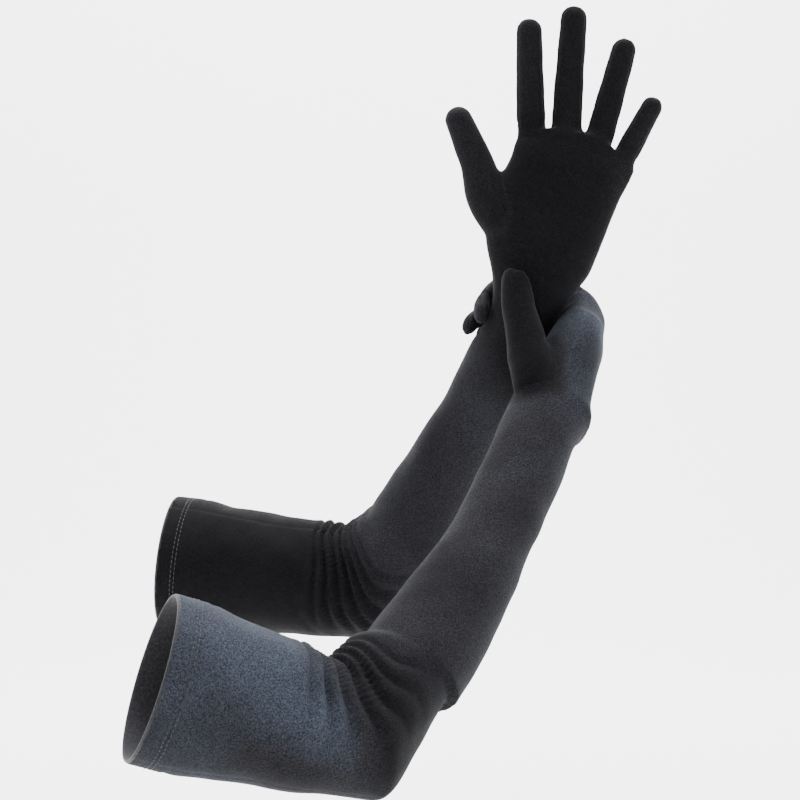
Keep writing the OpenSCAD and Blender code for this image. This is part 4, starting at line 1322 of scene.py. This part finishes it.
def build_pieces(arm, hand, palm_start, fingers, skins):
    side = arm.side
    upper, fore, palm = side + "_upper_sleeve", side + "_forearm", side + "_hand"
    elbow = (upper, fore, arm.elbow - 0.8 * GATHER * arm.upper, arm.elbow + 0.8 * GATHER * arm.fore)
    wrist = (fore, palm, arm.fore_at(FORE_END + 2), hand.place(palm_start - 2, 0, 0))
    start, end = (hand.place(*THUMBS[side][row][:3]) for row in THUMB_ROWS)
    thumb = (palm, side + "_thumb", start, end)
    bends = {side + "_upper_front": elbow, side + "_upper_back": elbow, side + "_elbow_gathers": elbow,
             side + "_forearm_front": elbow, side + "_forearm_back": elbow, side + "_wrist_gathers": wrist,
             side + "_thumb_panel": thumb}
    for name, loft in zip(FINGER_NAMES, fingers):
        centres = loft.rings.mean(1)
        at = [centres[np.argmin(np.abs(loft.stations - s))] for s in BEND_SPAN]
        for strip, _, _ in STRIPS[name]:
            bends[side + "_" + name + "_" + strip] = (palm, side + "_" + name + "_finger", at[0], at[1])
    for points, lining, normals, tris, labels, painted_sheen_and_shade in skins:
        for name in sorted(set(labels) - {""}):
            part = tris[labels == name]
            part = part[largest_parts(points, part, LEAST_PART)]
            obj = add_piece(name + "_cloth", points, lining, normals, part, VELVET, painted_sheen_and_shade)
            dress(obj, [name], body=palm, bend=bends.get(name))


def ring_mesh(arm, profile, sides):
    """A closed profile, (radius, station) pairs, turned round the sleeve's axis at the cuff."""
    turns = np.arange(sides) * 2 * math.pi / sides
    profile = np.array(profile, float)
    middles = arm.cuff + np.outer(profile[:, 1], arm.upper)
    points = np.vstack([middles + np.outer(profile[:, 0], round_cuff(arm, a)) for a in turns])
    m = len(profile)
    i, j = np.meshgrid(np.arange(sides), np.arange(m), indexing="ij")
    a, b = i * m + j, i * m + (j + 1) % m
    c, d = (i + 1) % sides * m + j, (i + 1) % sides * m + (j + 1) % m
    tris = np.stack([np.stack([a, b, d], -1), np.stack([a, d, c], -1)], 2).reshape(-1, 3)
    return points, outward(points, tris)


def round_cuff(arm, turn):
    """The way out from the cuff's axis at a turn round it."""
    return math.cos(turn) * arm.out + math.sin(turn) * np.cross(arm.upper, arm.out)


# Each row of stitches: how many, the share of its length that a stitch takes, the thread's
# radius, and the rings and sides that a stitch is made with
STITCHES = 88
STITCH_SHARE = 0.74
THREAD_R = 0.32
STITCH_RINGS = 7
STITCH_SIDES = 6


def stitch(arm, station, start, end, surface):
    """One stitch: a short thread that comes up through the cloth and goes back in."""
    points, tris = [], []
    turn = np.arange(STITCH_SIDES) * 2 * math.pi / STITCH_SIDES
    for f in np.linspace(0, 1, STITCH_RINGS):
        fat = THREAD_R * (0.35 + 0.65 * math.sin(math.pi * (0.12 + 0.76 * f)))
        lift = surface - 0.25 + 0.3 * math.sin(math.pi * f)
        way = round_cuff(arm, start + (end - start) * f)
        centre = arm.cuff + station * arm.upper + lift * way
        points.append(centre + np.outer(fat * np.cos(turn), way) + np.outer(fat * np.sin(turn), arm.upper))
    for q in range(STITCH_RINGS - 1):
        for j in range(STITCH_SIDES):
            a, b = q * STITCH_SIDES + j, q * STITCH_SIDES + (j + 1) % STITCH_SIDES
            tris += [[a, b, b + STITCH_SIDES], [a, b + STITCH_SIDES, a + STITCH_SIDES]]
    last = STITCH_SIDES * (STITCH_RINGS - 1)
    for first, flip in ((0, 1), (last, -1)):
        for j in range(1, STITCH_SIDES - 1):
            tris.append([first, first + j + 1, first + j][::flip])
    return np.vstack(points), np.array(tris)


def add_hem(arm):
    """The turned edge with its facing, and two rows of stitches."""
    surface = CUFF_R + 0.1
    inner = CUFF_R - 2.0
    middle, half = (surface + inner) / 2, (surface - inner) / 2
    lip = []
    for k in range(9):
        a = math.pi * k / 8
        lip.append((middle + half * math.cos(a), MOUTH + 0.4 - 1.5 * half * math.sin(a)))
    back = [(inner, HEM_DEPTH - 0.6), (inner + 0.4, HEM_DEPTH), (inner + WALL, HEM_DEPTH - 0.4),
            (inner + WALL, MOUTH + 1.2), (surface - WALL, MOUTH + 1.0)]
    points, tris = ring_mesh(arm, lip + back, 160)
    facing = make_object(arm.side + "_hem_facing_cloth", points, tris, LINING)
    dress(facing, [arm.side + "_hem_facing"], body=arm.side + "_upper_sleeve")
    total_points, total_tris, base = [], [], 0
    pace = 2 * math.pi / STITCHES
    for row in (0, 1):
        for k in range(STITCHES):
            start = pace * (k + 0.35 * row)
            station = STITCH_PLACE + row * STITCH_ROWS_GAP
            points, tris = stitch(arm, station, start, start + pace * STITCH_SHARE, surface)
            total_points.append(points)
            total_tris.append(tris + base)
            base += len(points)
    points, tris = np.vstack(total_points), np.vstack(total_tris)
    stitching = make_object(arm.side + "_hem_stitching_thread", points, outward(points, tris), THREAD)
    dress(stitching, [arm.side + "_hem_stitching"], body=arm.side + "_upper_sleeve")


# For each glove: how far past the wrist its palm starts, whether the fingers are joined to
# the palm's skin, and the seed of its undulations
build_glove(LEFT_ARM, LEFT_HAND, 20, True, 11)
build_glove(RIGHT_ARM, RIGHT_HAND, 3, False, 23)


# ---------------------------------------------------------------- studio
# The floor's drop below the gloves, how far behind them it starts to curve up, the curve's
# radius, and how far it reaches forwards, up and to each side, all in metres
FLOOR_DROP = 0.10
SWEEP_BACK = 1.1
SWEEP_RADIUS = 0.6
SWEEP_FRONT = 3.5
SWEEP_UP = 4.0
SWEEP_SIDE = 4.0


def add_sweep():
    """A pale floor that curves up into a pale backdrop."""
    low, high = np.array(CAD_BOX[0]), np.array(CAD_BOX[1])
    middle = (low + high) / 2
    floor = low[2] - FLOOR_DROP
    profile = [(-SWEEP_FRONT, floor)]
    for k in range(25):
        a = math.pi / 2 * k / 24
        profile.append((SWEEP_BACK + SWEEP_RADIUS * math.sin(a), floor + SWEEP_RADIUS * (1 - math.cos(a))))
    profile.append((SWEEP_BACK + SWEEP_RADIUS, floor + SWEEP_UP))
    points = [(middle[0] + x, y, z) for y, z in profile for x in (-SWEEP_SIDE, SWEEP_SIDE)]
    faces = [(2 * k, 2 * k + 1, 2 * k + 3, 2 * k + 2) for k in range(len(profile) - 1)]
    mesh = bpy.data.meshes.new("sweep")
    mesh.from_pydata(points, [], faces)
    mesh.polygons.foreach_set("use_smooth", np.ones(len(mesh.polygons), bool))
    material = bpy.data.materials.new("pale_sweep")
    _, _, shader = nodes_of(material)
    shader.inputs["Base Color"].default_value = (0.97, 0.97, 0.97, 1)
    shader.inputs["Roughness"].default_value = 0.95
    shader.inputs["Specular IOR Level"].default_value = 0.0
    mesh.materials.append(material)
    sweep = bpy.data.objects.new("sweep", mesh)
    bpy.context.scene.collection.objects.link(sweep)


def add_light(name, place, target, size, power):
    data = bpy.data.lights.new(name, "AREA")
    data.shape = "RECTANGLE"
    data.size, data.size_y = size
    data.energy = power
    light = bpy.data.objects.new(name, data)
    bpy.context.scene.collection.objects.link(light)
    light.location = place
    way = unit(np.array(target) - np.array(place))
    light.rotation_euler = (math.acos(-way[2]), 0, math.atan2(way[1], way[0]) - math.pi / 2)


def add_lights():
    low, high = np.array(CAD_BOX[0]), np.array(CAD_BOX[1])
    middle = (low + high) / 2
    x, y, z = middle
    add_light("top", (x - 0.1, y - 0.1, z + 1.5), middle, (1.6, 1.6), 26)
    add_light("left", (x - 1.5, y - 0.5, z + 0.5), middle, (1.2, 1.6), 18)
    add_light("right", (x + 1.5, y - 0.3, z + 0.3), middle, (1.2, 1.6), 22)
    add_light("front_high", (x - 0.3, y - 1.8, z + 1.2), middle, (1.4, 1.0), 14)
    add_light("backdrop", (x, y + 0.5, z + 1.6), (x, y + 1.6, z), (3.0, 1.0), 160)
    world = bpy.data.worlds.new("studio")
    bpy.context.scene.world = world
    world.use_nodes = True
    world.node_tree.nodes["Background"].inputs["Color"].default_value = (1, 1, 1, 1)
    world.node_tree.nodes["Background"].inputs["Strength"].default_value = 1.15


add_sweep()
add_lights()
